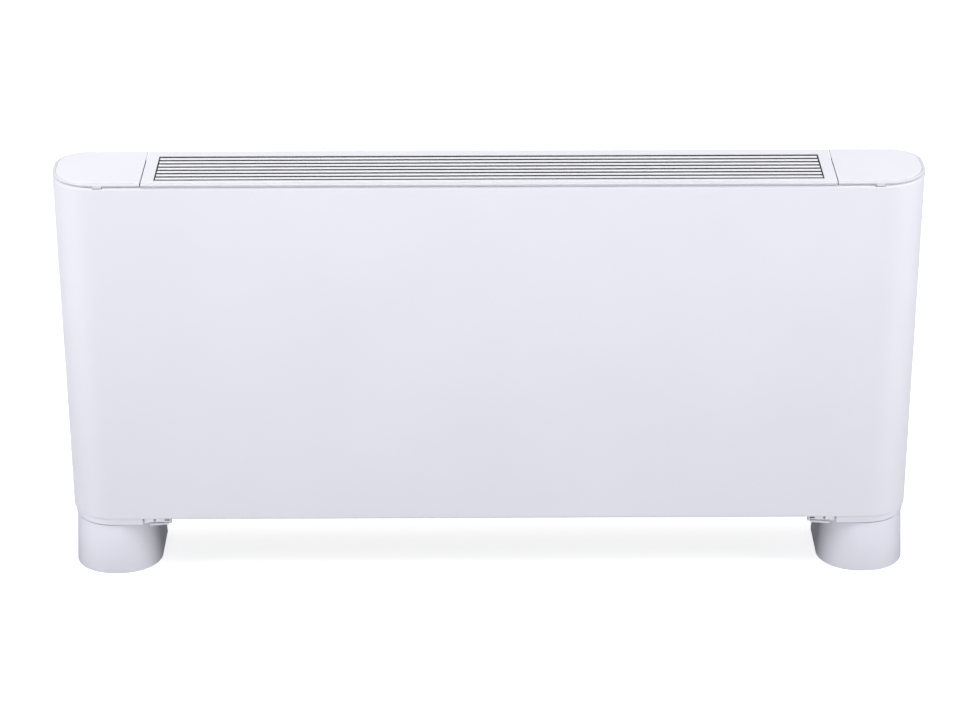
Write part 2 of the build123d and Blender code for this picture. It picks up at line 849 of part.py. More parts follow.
def make_fan_tongue():
    """Front guide sheet with the curled lip that splits the air stream."""
    lip_y = fan_y - fan_outer_radius - fan_wall_gap
    outlet_y = opening_front_y - opening_collar_wall / 2
    lip = (lip_y, fan_z - tongue_lip_drop)
    low = (lip_y - tongue_low_setback, fan_z - tongue_low_drop)
    curl = (lip_y - tongue_curl_setback, fan_z - tongue_curl_drop)
    bow = (lip_y - tongue_bow, fan_z + tongue_bow_rise)
    shoulder = (outlet_y, fan_z + fan_outer_radius)
    path = Curve() + [
        ThreePointArc(low, curl, lip),
        ThreePointArc(lip, bow, shoulder),
        Line(shoulder, (outlet_y, duct_top_z())),
    ]
    return along_x(trace(path, duct_sheet), -side_plate_x, side_plate_x)


# Heat exchanger


def coil_place(shape):
    """Turns and moves a shape from the coil's own frame to its place."""
    return Pos(0, 0, coil_z) * Rot(coil_tilt, 0, 0) * shape


def coil_point(across, up):
    """Where a point of the coil's section lies in Y and Z."""
    tilt = math.radians(coil_tilt)
    y = across * math.cos(tilt) - up * math.sin(tilt)
    z = coil_z + across * math.sin(tilt) + up * math.cos(tilt)
    return (y, z)


def make_coil_fins():
    """Fin pack: fins stand out on both air faces of the tube bank."""
    length = 2 * coil_half_length
    pack = Box(length, coil_thickness, coil_height)
    gap_count = int((length - fin_thickness) // fin_pitch)
    start = -(gap_count - 1) * fin_pitch / 2
    depth = (coil_thickness - fin_core_thickness) / 2
    gaps = []
    for face in (-1, 1):
        y = face * (fin_core_thickness + depth) / 2
        for index in range(gap_count):
            gap = Box(fin_pitch - fin_thickness, depth, coil_height)
            gaps.append(Pos(start + index * fin_pitch, y, 0) * gap)
    return coil_place(pack - gaps)


def tube_heights():
    """Heights of the tubes in the coil's own frame."""
    return [(index - (tube_count - 1) / 2) * tube_pitch for index in range(tube_count)]


def make_coil_end_plate():
    """Left end plate with a flange to the side plate and a short lower fold."""
    x1 = -coil_half_length
    x0 = x1 - chassis_sheet
    y = coil_thickness / 2 + coil_plate_margin
    z = coil_height / 2 + coil_plate_margin
    plate = block(x0, x1, -y, y, -z, z)
    plate += block(-side_plate_x, x1, -y, y, z, z + chassis_sheet)
    plate += block(x1 - coil_plate_fold, x1, -y, y, -z - chassis_sheet, -z)
    return coil_place(plate)


def make_return_bends():
    """Tube bends on the right end plate that join both rows."""
    start = coil_half_length + chassis_sheet
    straight = start + bend_straight
    radius = tube_rows_gap / 2
    diagonal = radius * (1 - math.tan(math.pi / 8))
    top = straight + radius
    corners = [
        (start, -radius),
        (straight, -radius),
        (top, -radius + diagonal),
        (top, radius - diagonal),
        (straight, radius),
        (start, radius),
    ]
    path = Polyline(*corners)
    section = Plane(origin=(start, -radius, 0), z_dir=(1, 0, 0)) * RegularPolygon(tube_radius, 8)
    bend = sweep(section, path=path, transition=Transition.RIGHT)
    return Compound(children=[coil_place(Pos(0, 0, height) * bend) for height in tube_heights()])


def make_header(row, connection_up):
    """Header tube of one row, with its branches and its pipe to the outside."""
    y = row * tube_rows_gap / 2
    x = -coil_half_length - chassis_sheet - header_centre_gap
    heights = tube_heights()
    tube = prism(8, header_radius, x, y, heights[0] - header_overrun, heights[-1] + header_overrun)
    for height in heights:
        branch = Pos(y, height) * RegularPolygon(tube_radius, 8)
        tube += along_x(branch, x, -coil_half_length - chassis_sheet)
    pipe = rod(connection_pipe_radius, -side_plate_outer_x - hex_stand_off, x, y, connection_up)
    return coil_place(tube + pipe)


def connection_places():
    """Where the supply and return pipes pass the side plate, in Y and Z."""
    low = coil_point(tube_rows_gap / 2, -connection_offset)
    high = coil_point(-tube_rows_gap / 2, connection_offset)
    return [low, high]


def make_connection(place):
    """Brass hexagon with an inner thread for the water pipe."""
    y, z = place
    inner = -side_plate_outer_x - hex_stand_off
    outer = inner - hex_length
    face = RegularPolygon(hex_across_flats / 2, 6, major_radius=False)
    body = along_x(Pos(y, z) * face, outer, inner)
    return body - rod(thread_radius, outer - 1, outer + thread_depth, y, z)


def make_air_vent():
    """Key-operated vent on top of the return connection."""
    y, z = connection_places()[1]
    x = -side_plate_outer_x - hex_stand_off - hex_length / 2
    flat = z + hex_across_flats / 2
    body = prism(6, vent_radius, x, y, flat, flat + vent_length)
    return body + prism(4, vent_key_radius, x, y, flat + vent_length, flat + vent_length + vent_key_length)


# Condensate


def coil_low_z():
    """The coil's lowest corner, with its end plates."""
    reach = coil_height / 2 + coil_plate_margin + chassis_sheet
    return coil_point(-coil_thickness / 2 - coil_plate_margin, -reach)[1]


def pan_floor_z():
    """Upper side of the pan's floor at its deep end."""
    return coil_low_z() - pan_floor_drop


def make_drain_pan():
    """Long moulded trough under the coil, with a fall to the left."""
    front = pan_front_y
    rear = chassis_face_y
    floor = pan_floor_z()
    low = floor - pan_sheet
    pan = block(-side_plate_x, side_plate_x, front, rear, low, floor + pan_rear_height)
    pan -= block(-side_plate_x - 1, side_plate_x + 1, front - 1, front + pan_sheet,
                 floor + pan_front_height, floor + pan_rear_height + 1)
    inner = Polygon((-side_plate_x + pan_sheet, floor), (side_plate_x - pan_sheet, floor + pan_fall),
                    (side_plate_x - pan_sheet, floor + pan_rear_height + 1),
                    (-side_plate_x + pan_sheet, floor + pan_rear_height + 1), align=None)
    hollow = extrude(Plane.XZ * inner, amount=-(rear - pan_sheet))
    hollow -= block(-casing_width, casing_width, -casing_depth, front + pan_sheet, 0, top_z)
    pan -= hollow
    y, z = spigot_place()
    return pan - rod(spigot_bore_radius, -side_plate_x - 1, -side_plate_x + pan_sheet + 1, y, z)


def spigot_place():
    """Centre of the drain spigot, in Y and Z."""
    y = (pan_front_y + chassis_face_y) / 2
    return (y, pan_floor_z() + spigot_sill + spigot_bore_radius)


def make_drain_spigot():
    """Hose spigot of the drain pan, through the left side plate, with an eight-sided flange."""
    y, z = spigot_place()
    inner = -side_plate_x
    outer = inner - spigot_length
    seat = -side_plate_outer_x
    spigot = rod(spigot_radius, outer, inner, y, z)
    face = Pos(y, z) * RegularPolygon(spigot_flange_radius, 8)
    spigot += along_x(face, seat - spigot_flange_depth, seat)
    return spigot - rod(spigot_bore_radius, outer - 1, inner + 1, y, z)


def make_valve_tray():
    """Small tray under the water connections, on the left side plate."""
    y, z = connection_places()[0]
    high = z - valve_tray_drop + valve_tray_height
    low = high - valve_tray_height
    x1 = -side_plate_outer_x
    x0 = x1 - valve_tray_length
    half = valve_tray_depth / 2
    tray = block(x0, x1, -half, half, low, high)
    tray = chamfer(tray.edges().filter_by(Axis.Z).group_by(Axis.X)[0], valve_tray_corner)
    inner_half = half - pan_sheet
    inner = block(x0 + pan_sheet, x1 - pan_sheet, -inner_half, inner_half, low + pan_sheet, high + 1)
    inner = chamfer(inner.edges().filter_by(Axis.Z).group_by(Axis.X)[0], valve_tray_corner - pan_sheet)
    return tray - inner


# Electrical parts


def box_bounds():
    """Corners of the terminal box on the right side plate."""
    x0 = side_plate_outer_x
    return (x0, x0 + box_length, -box_depth / 2, box_depth / 2, box_z, box_z + box_height)


def make_terminal_box():
    """Open box for the terminals and the capacitor."""
    x0, x1, y0, y1, z0, z1 = box_bounds()
    box = block(x0, x1, y0, y1, z0, z1)
    box = chamfer(box.edges().filter_by(Axis.X), box_corner)
    inner = block(x0 + box_wall, x1 + 1, y0 + box_wall, y1 - box_wall, z0 + box_wall, z1 - box_wall)
    inner = chamfer(inner.edges().filter_by(Axis.X), box_corner - box_wall)
    box -= inner
    return box - post(gland_thread_radius, gland_x(), 0, z0 - 1, z0 + box_wall + 1)


def gland_x():
    """Middle of the cable gland along X."""
    return side_plate_outer_x + box_length / 2


def make_terminal_cover():
    """Screwed cover of the terminal box."""
    x0, x1, y0, y1, z0, z1 = box_bounds()
    cover = block(x1, x1 + box_cover_thickness, y0, y1, z0, z1)
    return chamfer(cover.edges().filter_by(Axis.X), box_corner)


def make_terminal_strip():
    """Terminal strip with one clamp for each core."""
    x0, x1, y0, y1, z0, z1 = box_bounds()
    base_x = x0 + box_wall
    half = terminal_count * terminal_pitch / 2
    strip_z = z0 + terminal_lift
    strip_block = block(base_x, base_x + terminal_height, -half, half, strip_z, strip_z + terminal_depth)
    for index in range(terminal_count):
        y = -half + (index + 0.5) * terminal_pitch
        top_x = base_x + terminal_height
        well = terminal_pitch / 2 - terminal_wall
        strip_block -= block(top_x - terminal_well, top_x + 1, y - well, y + well,
                             strip_z + terminal_wall, strip_z + terminal_depth - terminal_wall)
    return strip_block


def make_motor_capacitor():
    """Round capacitor that stands in the box beside the terminals."""
    x0, x1, y0, y1, z0, z1 = box_bounds()
    base = z1 - box_wall - capacitor_height
    x = x0 + box_wall + capacitor_radius
    return post(capacitor_radius, x, 0, base, z1 - box_wall)


def make_cable_gland():
    """Cable gland in the floor of the terminal box."""
    z0 = box_z
    x = gland_x()
    thread = post(gland_thread_radius, x, 0, z0, z0 + gland_thread_height)
    nut = prism(6, gland_nut_radius, x, 0, z0 - gland_nut_height, z0)
    dome_low = z0 - gland_nut_height - gland_dome_height
    dome = post(gland_nut_radius - gland_dome_inset, x, 0, dome_low, z0 - gland_nut_height)
    gland = thread + nut + dome
    return gland - post(gland_bore_radius, x, 0, dome_low - 1, z0 + gland_thread_height + 1)


def knob_places():
    """Centres of the speed knob and the thermostat knob."""
    return [(control_x - knob_spacing / 2, 0.0), (control_x + knob_spacing / 2, 0.0)]


def make_control_plate():
    """Bent plate under the right lid that carries the controls."""
    half_x = control_plate_length / 2
    half_y = control_plate_depth / 2
    z1 = control_z
    z0 = z1 - control_plate_sheet
    plate = block(control_x - half_x, control_x + half_x, -half_y, half_y, z0, z1)
    plate = chamfer(plate.edges().filter_by(Axis.Z).group_by(Axis.X)[-1], control_plate_corner)
    plate += block(side_plate_outer_x, side_plate_outer_x + control_plate_sheet, -half_y, half_y,
                   z1 - control_box_height, z1)
    for x, y in knob_places():
        plate -= post(knob_spindle_radius + shaft_running_clearance, x, y, z0 - 1, z1 + 1)
    return plate


def make_control_box():
    """Closed switch housing under the control plate."""
    half_x = control_box_length / 2
    half_y = control_box_depth / 2
    z1 = control_z - control_plate_sheet
    box = block(control_x - half_x, control_x + half_x, -half_y, half_y, z1 - control_box_height, z1)
    box = chamfer(box.edges().filter_by(Axis.Z), control_box_corner)
    for x, y in knob_places():
        low = control_z - knob_spindle_length - knob_spindle_end_gap
        box -= post(knob_spindle_radius + shaft_running_clearance, x, y, low, z1 + 1)
    return box


def make_knob(place):
    """Faceted knob with its pointer and its spindle."""
    x, y = place
    low = control_z + knob_plate_clearance
    high = low + knob_height
    skirt = prism(knob_side_count, knob_radius, x, y, low, low + knob_skirt_height)
    grip = prism(knob_side_count, knob_top_radius, x, y, low, high)
    spindle = post(knob_spindle_radius, x, y, control_z - knob_spindle_length, low)
    pointer_half = pointer_width / 2
    pointer_tip = y - knob_top_radius + pointer_half
    pointer = block(x - pointer_half, x + pointer_half, pointer_tip, y - pointer_start,
                    high, high + pointer_height)
    return skirt + grip + spindle + pointer


# Screws


def make_panel_screws():
    """Heads of the screws that hold the panel's rear returns to the chassis."""
    screws = []
    x = half_width - rear_corner_radius - panel_rear_return / 2
    for z in (panel_bottom_z + panel_screw_margin, panel_bottom_z + casing_height / 2,
              chassis_top_z - panel_screw_margin):
        face = Plane.XZ.offset(-chassis_face_y) * Pos(x, z) * RegularPolygon(screw_head_radius, 6)
        head = extrude(face, amount=screw_head_height)
        screws.append(head)
        screws.append(other_side(head))
    return Compound(children=screws)


def main():
    os.makedirs("parts", exist_ok=True)
    left_plate = make_left_side_plate()
    left_lid = make_left_lid()
    left_bracket = make_left_hinge_bracket()
    left_collar = make_left_collar()
    left_foot = make_left_foot()
    left_runner = make_left_runner()
    coil_plate = make_coil_end_plate()
    supply_place, return_place = connection_places()
    speed_place, thermostat_place = knob_places()
    nodes = {
        "front_panel": make_front_panel(),
        "top_frame": make_top_frame(),
        "outlet_grille": make_outlet_grille(),
        "left_lid": left_lid,
        "right_lid": other_side(left_lid),
        "left_hinge_bracket": left_bracket,
        "right_hinge_bracket": other_side(left_bracket),
        "hinge_pins": make_hinge_pins(),
        "left_collar": left_collar,
        "right_collar": other_side(left_collar),
        "left_foot": left_foot,
        "right_foot": other_side(left_foot),
        "foot_screws": make_foot_screws(),
        "left_filter_runner": left_runner,
        "right_filter_runner": other_side(left_runner),
        "filter_frame": make_filter_frame(),
        "filter_mesh": make_filter_mesh(),
        "rear_chassis": make_rear_chassis(),
        "left_side_plate": drill_left_side_plate(left_plate),
        "right_side_plate": drill_right_side_plate(other_side(left_plate)),
        "fan_rotor": make_fan_rotor(),
        "bearing_shaft": make_bearing_shaft(),
        "motor_shaft": make_motor_shaft(),
        "bearing_bush": make_bearing_bush(),
        "bearing_ring": make_bearing_ring(),
        "motor_plate": make_motor_plate(),
        "fan_motor": make_fan_motor(),
        "fan_volute": make_fan_volute(),
        "fan_tongue": make_fan_tongue(),
        "coil_fins": make_coil_fins(),
        "left_coil_plate": coil_plate,
        "right_coil_plate": other_side(coil_plate),
        "return_bends": make_return_bends(),
        "supply_header": make_header(1, -connection_offset),
        "return_header": make_header(-1, connection_offset),
        "supply_connection": make_connection(supply_place),
        "return_connection": make_connection(return_place),
        "air_vent": make_air_vent(),
        "drain_pan": make_drain_pan(),
        "drain_spigot": make_drain_spigot(),
        "valve_tray": make_valve_tray(),
        "terminal_box": make_terminal_box(),
        "terminal_cover": make_terminal_cover(),
        "terminal_strip": make_terminal_strip(),
        "motor_capacitor": make_motor_capacitor(),
        "cable_gland": make_cable_gland(),
        "control_plate": make_control_plate(),
        "control_box": make_control_box(),
        "speed_knob": make_knob(speed_place),
        "thermostat_knob": make_knob(thermostat_place),
        "panel_screws": make_panel_screws(),
    }
    for name, shape in nodes.items():
        export_step(shape, f"parts/{name}.step")


main()
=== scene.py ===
import json
import math

import bmesh
import bpy
from bpy.props import (
    FloatProperty,
    FloatVectorProperty,
    IntProperty,
    PointerProperty,
)
from mathutils import Matrix, Vector


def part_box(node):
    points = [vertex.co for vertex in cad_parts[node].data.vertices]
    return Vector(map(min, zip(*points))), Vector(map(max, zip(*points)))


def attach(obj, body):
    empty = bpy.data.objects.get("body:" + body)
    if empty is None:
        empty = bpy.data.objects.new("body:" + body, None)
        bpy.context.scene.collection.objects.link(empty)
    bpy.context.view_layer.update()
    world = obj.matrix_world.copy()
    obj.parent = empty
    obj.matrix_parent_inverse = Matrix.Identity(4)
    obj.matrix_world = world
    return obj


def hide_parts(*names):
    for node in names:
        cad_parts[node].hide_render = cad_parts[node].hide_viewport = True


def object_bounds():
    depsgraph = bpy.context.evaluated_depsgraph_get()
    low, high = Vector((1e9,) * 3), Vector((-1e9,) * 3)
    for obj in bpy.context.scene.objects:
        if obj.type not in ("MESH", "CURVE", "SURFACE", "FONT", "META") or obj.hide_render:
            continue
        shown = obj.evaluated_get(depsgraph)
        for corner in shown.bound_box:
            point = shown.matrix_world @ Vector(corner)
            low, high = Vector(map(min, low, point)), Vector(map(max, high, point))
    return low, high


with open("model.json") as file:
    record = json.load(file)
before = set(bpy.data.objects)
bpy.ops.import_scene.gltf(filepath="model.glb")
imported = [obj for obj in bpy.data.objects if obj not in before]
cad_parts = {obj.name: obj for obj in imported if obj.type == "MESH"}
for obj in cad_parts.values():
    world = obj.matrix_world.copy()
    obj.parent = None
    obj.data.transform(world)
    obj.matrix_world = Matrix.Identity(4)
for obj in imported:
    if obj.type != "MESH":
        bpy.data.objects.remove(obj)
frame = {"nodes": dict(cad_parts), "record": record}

bl_info = {
    "name": "Floor-standing fan coil unit",
    "version": (1, 0, 0),
    "blender": (4, 5, 0),
    "location": "3D View > Sidebar > Fan coil unit",
    "description": "Finishes the solids of a floor-standing fan coil unit and adds its fine pieces",
    "category": "Object",
}

mm = 0.001
# How far a form reaches into the one that it joins.
bite = 0.2 * mm
# The cover and its parts hang no deeper than this below the unit's top.
cover_reach = 20 * mm
solid_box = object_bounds()
front_y = solid_box[0][1]
wall_y = solid_box[1][1]
half_width = solid_box[1][0]
top_z = solid_box[1][2]


def tone(red, green, blue):
    """A colour given as it looks on a screen, from 0 to 255, as a linear one."""
    def linear(value):
        share = value / 255
        if share <= 0.04045:
            return share / 12.92
        return ((share + 0.055) / 1.055) ** 2.4
    return (linear(red), linear(green), linear(blue), 1.0)


def size_field(name, description, default):
    """A length in metres that a user can change."""
    return FloatProperty(name=name, description=description, default=default, unit="LENGTH", precision=4)


def colour_field(name, description, default):
    return FloatVectorProperty(name=name, description=description, default=default, subtype="COLOR",
                               size=4, min=0.0, max=1.0)


def share_field(name, description, default):
    return FloatProperty(name=name, description=description, default=default, subtype="FACTOR",
                         min=0.0, max=1.0)


class FinishColours(bpy.types.PropertyGroup):
    casing: colour_field("Casing paint", "Powder coat of the front panel", tone(233, 233, 243))
    cover: colour_field("Top cover", "Moulded plastic of the top frame and lids", tone(247, 247, 255))
    grille: colour_field("Grille", "Paint of the outlet bars", tone(250, 250, 254))
    # Painted shade: the colour that the bars' flanks and the outlet's inside take, where shade falls between
    # the bars.
    recess: colour_field("Outlet shade", "Shade between the outlet bars", tone(92, 92, 100))
    foot: colour_field("Feet", "Moulded plastic of feet and collars", tone(240, 240, 252))
    runner: colour_field("Runners", "Paint of the filter runners", tone(238, 238, 245))
    zinc: colour_field("Zinc", "Galvanised sheet of the chassis", tone(186, 190, 194))
    aluminium: colour_field("Aluminium", "Fan rotor and coil fins", tone(205, 208, 212))
    copper: colour_field("Copper", "Tube bends and headers", tone(202, 122, 82))
    brass: colour_field("Brass", "Water connections and vent", tone(206, 172, 96))
    black: colour_field("Black plastic", "Drain pan, tray and gland", tone(38, 38, 40))
    rubber: colour_field("Rubber", "Ring of the fan bearing", tone(30, 30, 31))
    box: colour_field("Box plastic", "Terminal box and switch housing", tone(206, 207, 205))
    cloth: colour_field("Filter cloth", "Woven net of the filter", tone(66, 68, 72))
    knob: colour_field("Knobs", "Control knobs", tone(224, 224, 232))


# Painted shade: each share darkens a surface's colour where shade falls, on the cover's margin, in the gap
# under the cover, at the panel's rim and fold, on the feet and in the line over them.
class ShadeShares(bpy.types.PropertyGroup):
    margin: share_field("Cover margin", "Share of its colour that the cover's margin keeps", 0.8)
    gap: share_field("Cover gap", "Share of its colour that the gap under the cover keeps", 0.88)
    folds: share_field("Panel folds", "Share of its colour that the panel's rim and fold keep", 0.86)
    feet: share_field("Feet", "Share of its colour that a foot keeps under the collar", 0.86)
    foot_line: share_field("Foot line", "Share of its colour that the line over a foot keeps", 0.2)


class CasingSizes(bpy.types.PropertyGroup):
    front_radius: size_field("Front corner radius", "Radius of the casing's front corners", 68 * mm)
    rear_radius: size_field("Rear corner radius", "Radius of the casing's rear corners", 50 * mm)
    corner_steps: IntProperty(name="Corner steps", description="Facets round a corner", default=28)
    sheet: size_field("Panel sheet", "Thickness of the folded sheet", 1.2 * mm)
    rim_radius: size_field("Rim radius", "Rounding of the panel's upper rim", 4 * mm)
    rim_width: size_field("Rim width", "How far the rim reaches inwards", 9 * mm)
    fold_radius: size_field("Lower fold radius", "Rounding of the panel's lower fold", 1.3 * mm)
    bottom_return: size_field("Lower return", "How far the lower fold reaches inwards", 12 * mm)
    rear_return: size_field("Rear return", "Length of the panel's rear folds", 18 * mm)
    notch_half: size_field("Notch half width", "Half the width of a finger notch", 7.6 * mm)
    notch_depth: size_field("Notch depth", "Depth of a finger notch", 2 * mm)
    swing_radius: size_field("Hinge swing", "Room round the lids' hinges", 8.12 * mm)


class CoverSizes(bpy.types.PropertyGroup):
    edge: size_field("Edge height", "Upright edge of the cover", 1.2 * mm)
    slope_drop: size_field("Slope drop", "How far the cover's margin slopes down", 2 * mm)
    slope_width: size_field("Slope width", "Width of the sloped margin", 5.2 * mm)
    edge_turn: size_field("Edge rounding", "Rounding of the cover's edges", 0.4 * mm)
    line_depth: size_field("Line depth", "Depth of the fine line along the sloped margin", 1.1 * mm)
    line_half: size_field("Line half width", "Half the width of that line", 0.9 * mm)
    rear_gap: size_field("Rear gap", "Distance from the cover to the wall", 2 * mm)
    seam_x: size_field("Seam place", "Where the lids part from the frame", 537.5 * mm)
    seam_gap: size_field("Seam gap", "Gap between lid and frame", 1.6 * mm)
    groove_height: size_field("Groove height", "Height of the shadow gap", 3.3 * mm)
    groove_depth: size_field("Groove depth", "Depth of the shadow gap", 3.2 * mm)
    band_wall: size_field("Band wall", "Thickness of the wall under the cover", 2 * mm)
    tab_x: size_field("Tab place", "Middle of the finger tab", 603.5 * mm)
    tab_half: size_field("Tab half width", "Half the width of the finger tab", 6.8 * mm)
    tab_depth: size_field("Tab depth", "How far the tab reaches below the gap", 1.2 * mm)
    knuckle_inner_x: size_field("Knuckle end", "Inner end of the hinge knuckle", 564 * mm)
    knuckle_outer_x: size_field("Knuckle start", "Outer end of the hinge knuckle", 616 * mm)
    knuckle_radius: size_field("Knuckle radius", "Radius of the hinge knuckle", 3.5 * mm)
    pin_radius: size_field("Pin hole radius", "Radius of the hole for the pin", 1.56 * mm)
    hinge_y: size_field("Hinge depth", "Where the hinge line lies in depth", 64.5 * mm)
    ledge_drop: size_field("Ledge drop", "How far the grille's ledge lies below the top", 15 * mm)
    ledge_width: size_field("Ledge width", "Width of the grille's ledge", 3 * mm)
    opening_half: size_field("Opening half length", "Half the length of the outlet", 518 * mm)
    opening_front: size_field("Opening front", "Front edge of the outlet", -57.5 * mm)
    opening_rear: size_field("Opening rear", "Rear edge of the outlet", 45.7 * mm)


class GrilleSizes(bpy.types.PropertyGroup):
    bars: IntProperty(name="Bars", description="Number of long bars", default=7)
    bar_width: size_field("Bar width", "Width of a bar's crown", 8 * mm)
    bar_foot: size_field("Bar foot", "Width of a bar's lower edge", 2.6 * mm)
    bar_height: size_field("Bar height", "Height of a bar", 15 * mm)
    crown_radius: size_field("Crown radius", "Rounding of a bar's crown", 1.3 * mm)
    end_gap: size_field("End gap", "Gap at the ends of the bars", 2.3 * mm)
    ribs: IntProperty(name="Ribs", description="Number of cross ribs", default=9)
    rib_thickness: size_field("Rib thickness", "Thickness of a cross rib", 2 * mm)
    rib_drop: size_field("Rib drop", "How far the ribs lie below the top", 7 * mm)
    side_gap: size_field("Side gap", "Gap between the ribs and the collar", 0.3 * mm)


class BaseSizes(bpy.types.PropertyGroup):
    foot_height: size_field("Foot height", "Height of the feet", 88 * mm)
    foot_half: size_field("Foot half width", "Half a foot's width at the floor", 70.25 * mm)
    foot_corner: size_field("Foot corner", "Radius of a foot's front corners", 65 * mm)
    foot_line: size_field("Foot line", "Height of the fine gap between foot and collar", 1.3 * mm)
    flare: size_field("Foot flare", "How far a foot widens to the floor", 5 * mm)
    foot_wall: size_field("Foot wall", "Thickness of a foot's wall", 2.5 * mm)
    foot_plate: size_field("Foot plate", "Thickness of a foot's top plate", 3 * mm)
    collar_height: size_field("Collar height", "Height of the tray over a foot", 12 * mm)
    collar_inset: size_field("Collar inset", "How far the tray stands back", 3 * mm)
    collar_wall: size_field("Collar wall", "Thickness of the tray", 2 * mm)
    collar_inner_x: size_field("Collar end", "Inner end of the tray", 562.8 * mm)
    hole_length: size_field("Pipe hole length", "Length of the pipe passage", 84 * mm)
    hole_depth: size_field("Pipe hole depth", "Depth of the pipe passage", 62 * mm)
    hole_corner: size_field("Pipe hole corner", "Cut corner of the pipe passage", 16 * mm)
    runner_sheet: size_field("Runner sheet", "Sheet of the filter runners", 1.2 * mm)
    runner_drop: size_field("Runner drop", "How far a runner hangs under the casing", 11.5 * mm)
    runner_lip: size_field("Runner lip", "Width of the ledge under the filter", 11 * mm)
    runner_web_x: size_field("Runner web", "Inner face of a runner's web", 532 * mm)
    runner_plate_x: size_field("Runner plate end", "Inner end of a runner's front plate", 518.4 * mm)
    runner_plate_drop: size_field("Runner plate drop", "How far the front plate reaches down", 18.6 * mm)
    runner_bar: size_field("Runner bar", "Height of the bar under the front plate", 3.8 * mm)
    runner_bar_depth: size_field("Runner bar depth", "From the bar's front to the front plate", 4.5 * mm)
    runner_pocket: size_field("Runner pocket", "From the front plate to the sheet behind it", 6 * mm)
    runner_hole: size_field("Runner hole", "Radius of the hole in the front plate", 2.4 * mm)
    runner_hole_x: size_field("Runner hole place", "From the front plate's outer end to its hole", 17.3 * mm)
    runner_slot_x: size_field("Runner slot place", "From the front plate's outer end to its slot", 37.3 * mm)
    bar_left: size_field("Bar reach outside", "From the plate to the bar's outer end", 7 * mm)
    bar_right: size_field("Bar reach inside", "From the plate to the bar's inner end", 2.5 * mm)


class FilterSizes(bpy.types.PropertyGroup):
    cloth_width: size_field("Cloth length", "Length of the filter cloth", 1038 * mm)
    cloth_depth: size_field("Cloth depth", "Depth of the filter cloth", 80 * mm)
    cloth_sheet: size_field("Cloth thickness", "Thickness of the filter cloth", 0.4 * mm)
    cloth_sag: size_field("Cloth sag", "How far the cloth sags between the ribs", 0.5 * mm)
    fields: IntProperty(name="Cloth fields", description="Fields between the frame's ribs", default=4)


class ControlSizes(bpy.types.PropertyGroup):
    plate_z: size_field("Plate height", "Upper face of the control plate", 662.5 * mm)
    knob_radius: size_field("Knob radius", "Radius of a knob's skirt", 15 * mm)
    grip_radius: size_field("Grip radius", "Radius of a knob's grip", 11.5 * mm)
    skirt_height: size_field("Skirt height", "Height of a knob's skirt", 3 * mm)
    knob_height: size_field("Knob height", "Height of a knob", 12 * mm)
    lift: size_field("Knob lift", "Gap between knob and plate", 0.4 * mm)
    pointer_height: size_field("Pointer height", "Height of the raised pointer", 0.8 * mm)
    spindle_radius: size_field("Spindle radius", "Radius of a knob's spindle", 3 * mm)
    spindle_length: size_field("Spindle length", "How far a spindle reaches down", 16 * mm)
    flutes: IntProperty(name="Flutes", description="Grooves round a knob's grip", default=18)
    flute_depth: size_field("Flute depth", "Depth of a groove", 0.7 * mm)
    mark_radius: size_field("Mark radius", "Where the dial's marks start", 16.2 * mm)
    number_radius: size_field("Number radius", "Where the dial's numbers stand", 20.2 * mm)
    number_height: size_field("Number height", "Height of the dial's numbers", 4.2 * mm)
    screw_radius: size_field("Screw head", "Radius of a screw's head", 4 * mm)
    screw_height: size_field("Screw height", "Height of a screw's head", 2.4 * mm)


class FanSizes(bpy.types.PropertyGroup):
    blades: IntProperty(name="Blades", description="Number of fan blades", default=28)
    middle_z: size_field("Fan height", "Height of the fan's middle", 547 * mm)
    half_length: size_field("Fan half length", "Half the length of the blades", 506 * mm)
    outer_radius: size_field("Outer radius", "Radius of the rotor", 46 * mm)
    inner_radius: size_field("Inner radius", "Radius inside the blades", 35 * mm)
    sweep: FloatProperty(name="Blade sweep", description="How far a blade leans", subtype="ANGLE",
                         default=math.radians(14))
    bulge: size_field("Blade bulge", "Bow of a blade", 1.6 * mm)
    blade_sheet: size_field("Blade sheet", "Thickness of a blade", 1 * mm)
    disc: size_field("Disc thickness", "Thickness of the end discs", 2.5 * mm)
    hub_radius: size_field("Hub radius", "Radius of the hubs", 13 * mm)
    hub_length: size_field("Hub length", "Length of the hubs", 10 * mm)
    shaft_radius: size_field("Shaft radius", "Radius of the shafts", 5 * mm)
    rings: IntProperty(name="Rings", description="Number of rings that hold the blades", default=9)


class CoilSizes(bpy.types.PropertyGroup):
    middle_z: size_field("Coil height", "Height of the coil's middle", 348 * mm)
    tilt: FloatProperty(name="Coil tilt", description="How far the coil leans", subtype="ANGLE",
                        default=math.radians(18))
    half_length: size_field("Coil half length", "Half the length of the fin pack", 498 * mm)
    height: size_field("Fin height", "Height of a fin", 244 * mm)
    thickness: size_field("Coil thickness", "Depth of a fin", 44 * mm)
    fin_pitch: size_field("Fin pitch", "Distance from fin to fin", 3 * mm)
    fin_sheet: size_field("Fin sheet", "Thickness of a fin", 0.35 * mm)
    plate: size_field("End plate", "Thickness of the end plates", 1.2 * mm)
    tubes: IntProperty(name="Tubes", description="Tubes in each row", default=6)
    tube_pitch: size_field("Tube pitch", "Distance from tube to tube", 40 * mm)
    row_gap: size_field("Row gap", "Distance between the tube rows", 22 * mm)
    tube_radius: size_field("Tube radius", "Outer radius of a tube", 4.8 * mm)
    header_radius: size_field("Header radius", "Radius of the headers", 8 * mm)
    header_gap: size_field("Header gap", "From the end plate to the header's middle", 13 * mm)
    header_overrun: size_field("Header overrun", "How far a header passes the last tube", 12 * mm)
    connection_offset: size_field("Connection offset", "From the coil's middle to a connection", 70 * mm)
    connection_inner: size_field("Connection start", "Inner end of the connections", 545.2 * mm)
    connection_outer: size_field("Connection end", "Outer end of the connections", 565.2 * mm)
    hexagon: size_field("Hexagon", "Distance across the hexagon's flats", 27 * mm)
    thread_radius: size_field("Thread radius", "Core radius of the pipe thread", 9.5 * mm)
    thread_depth: size_field("Thread depth", "Depth of the pipe thread", 15 * mm)


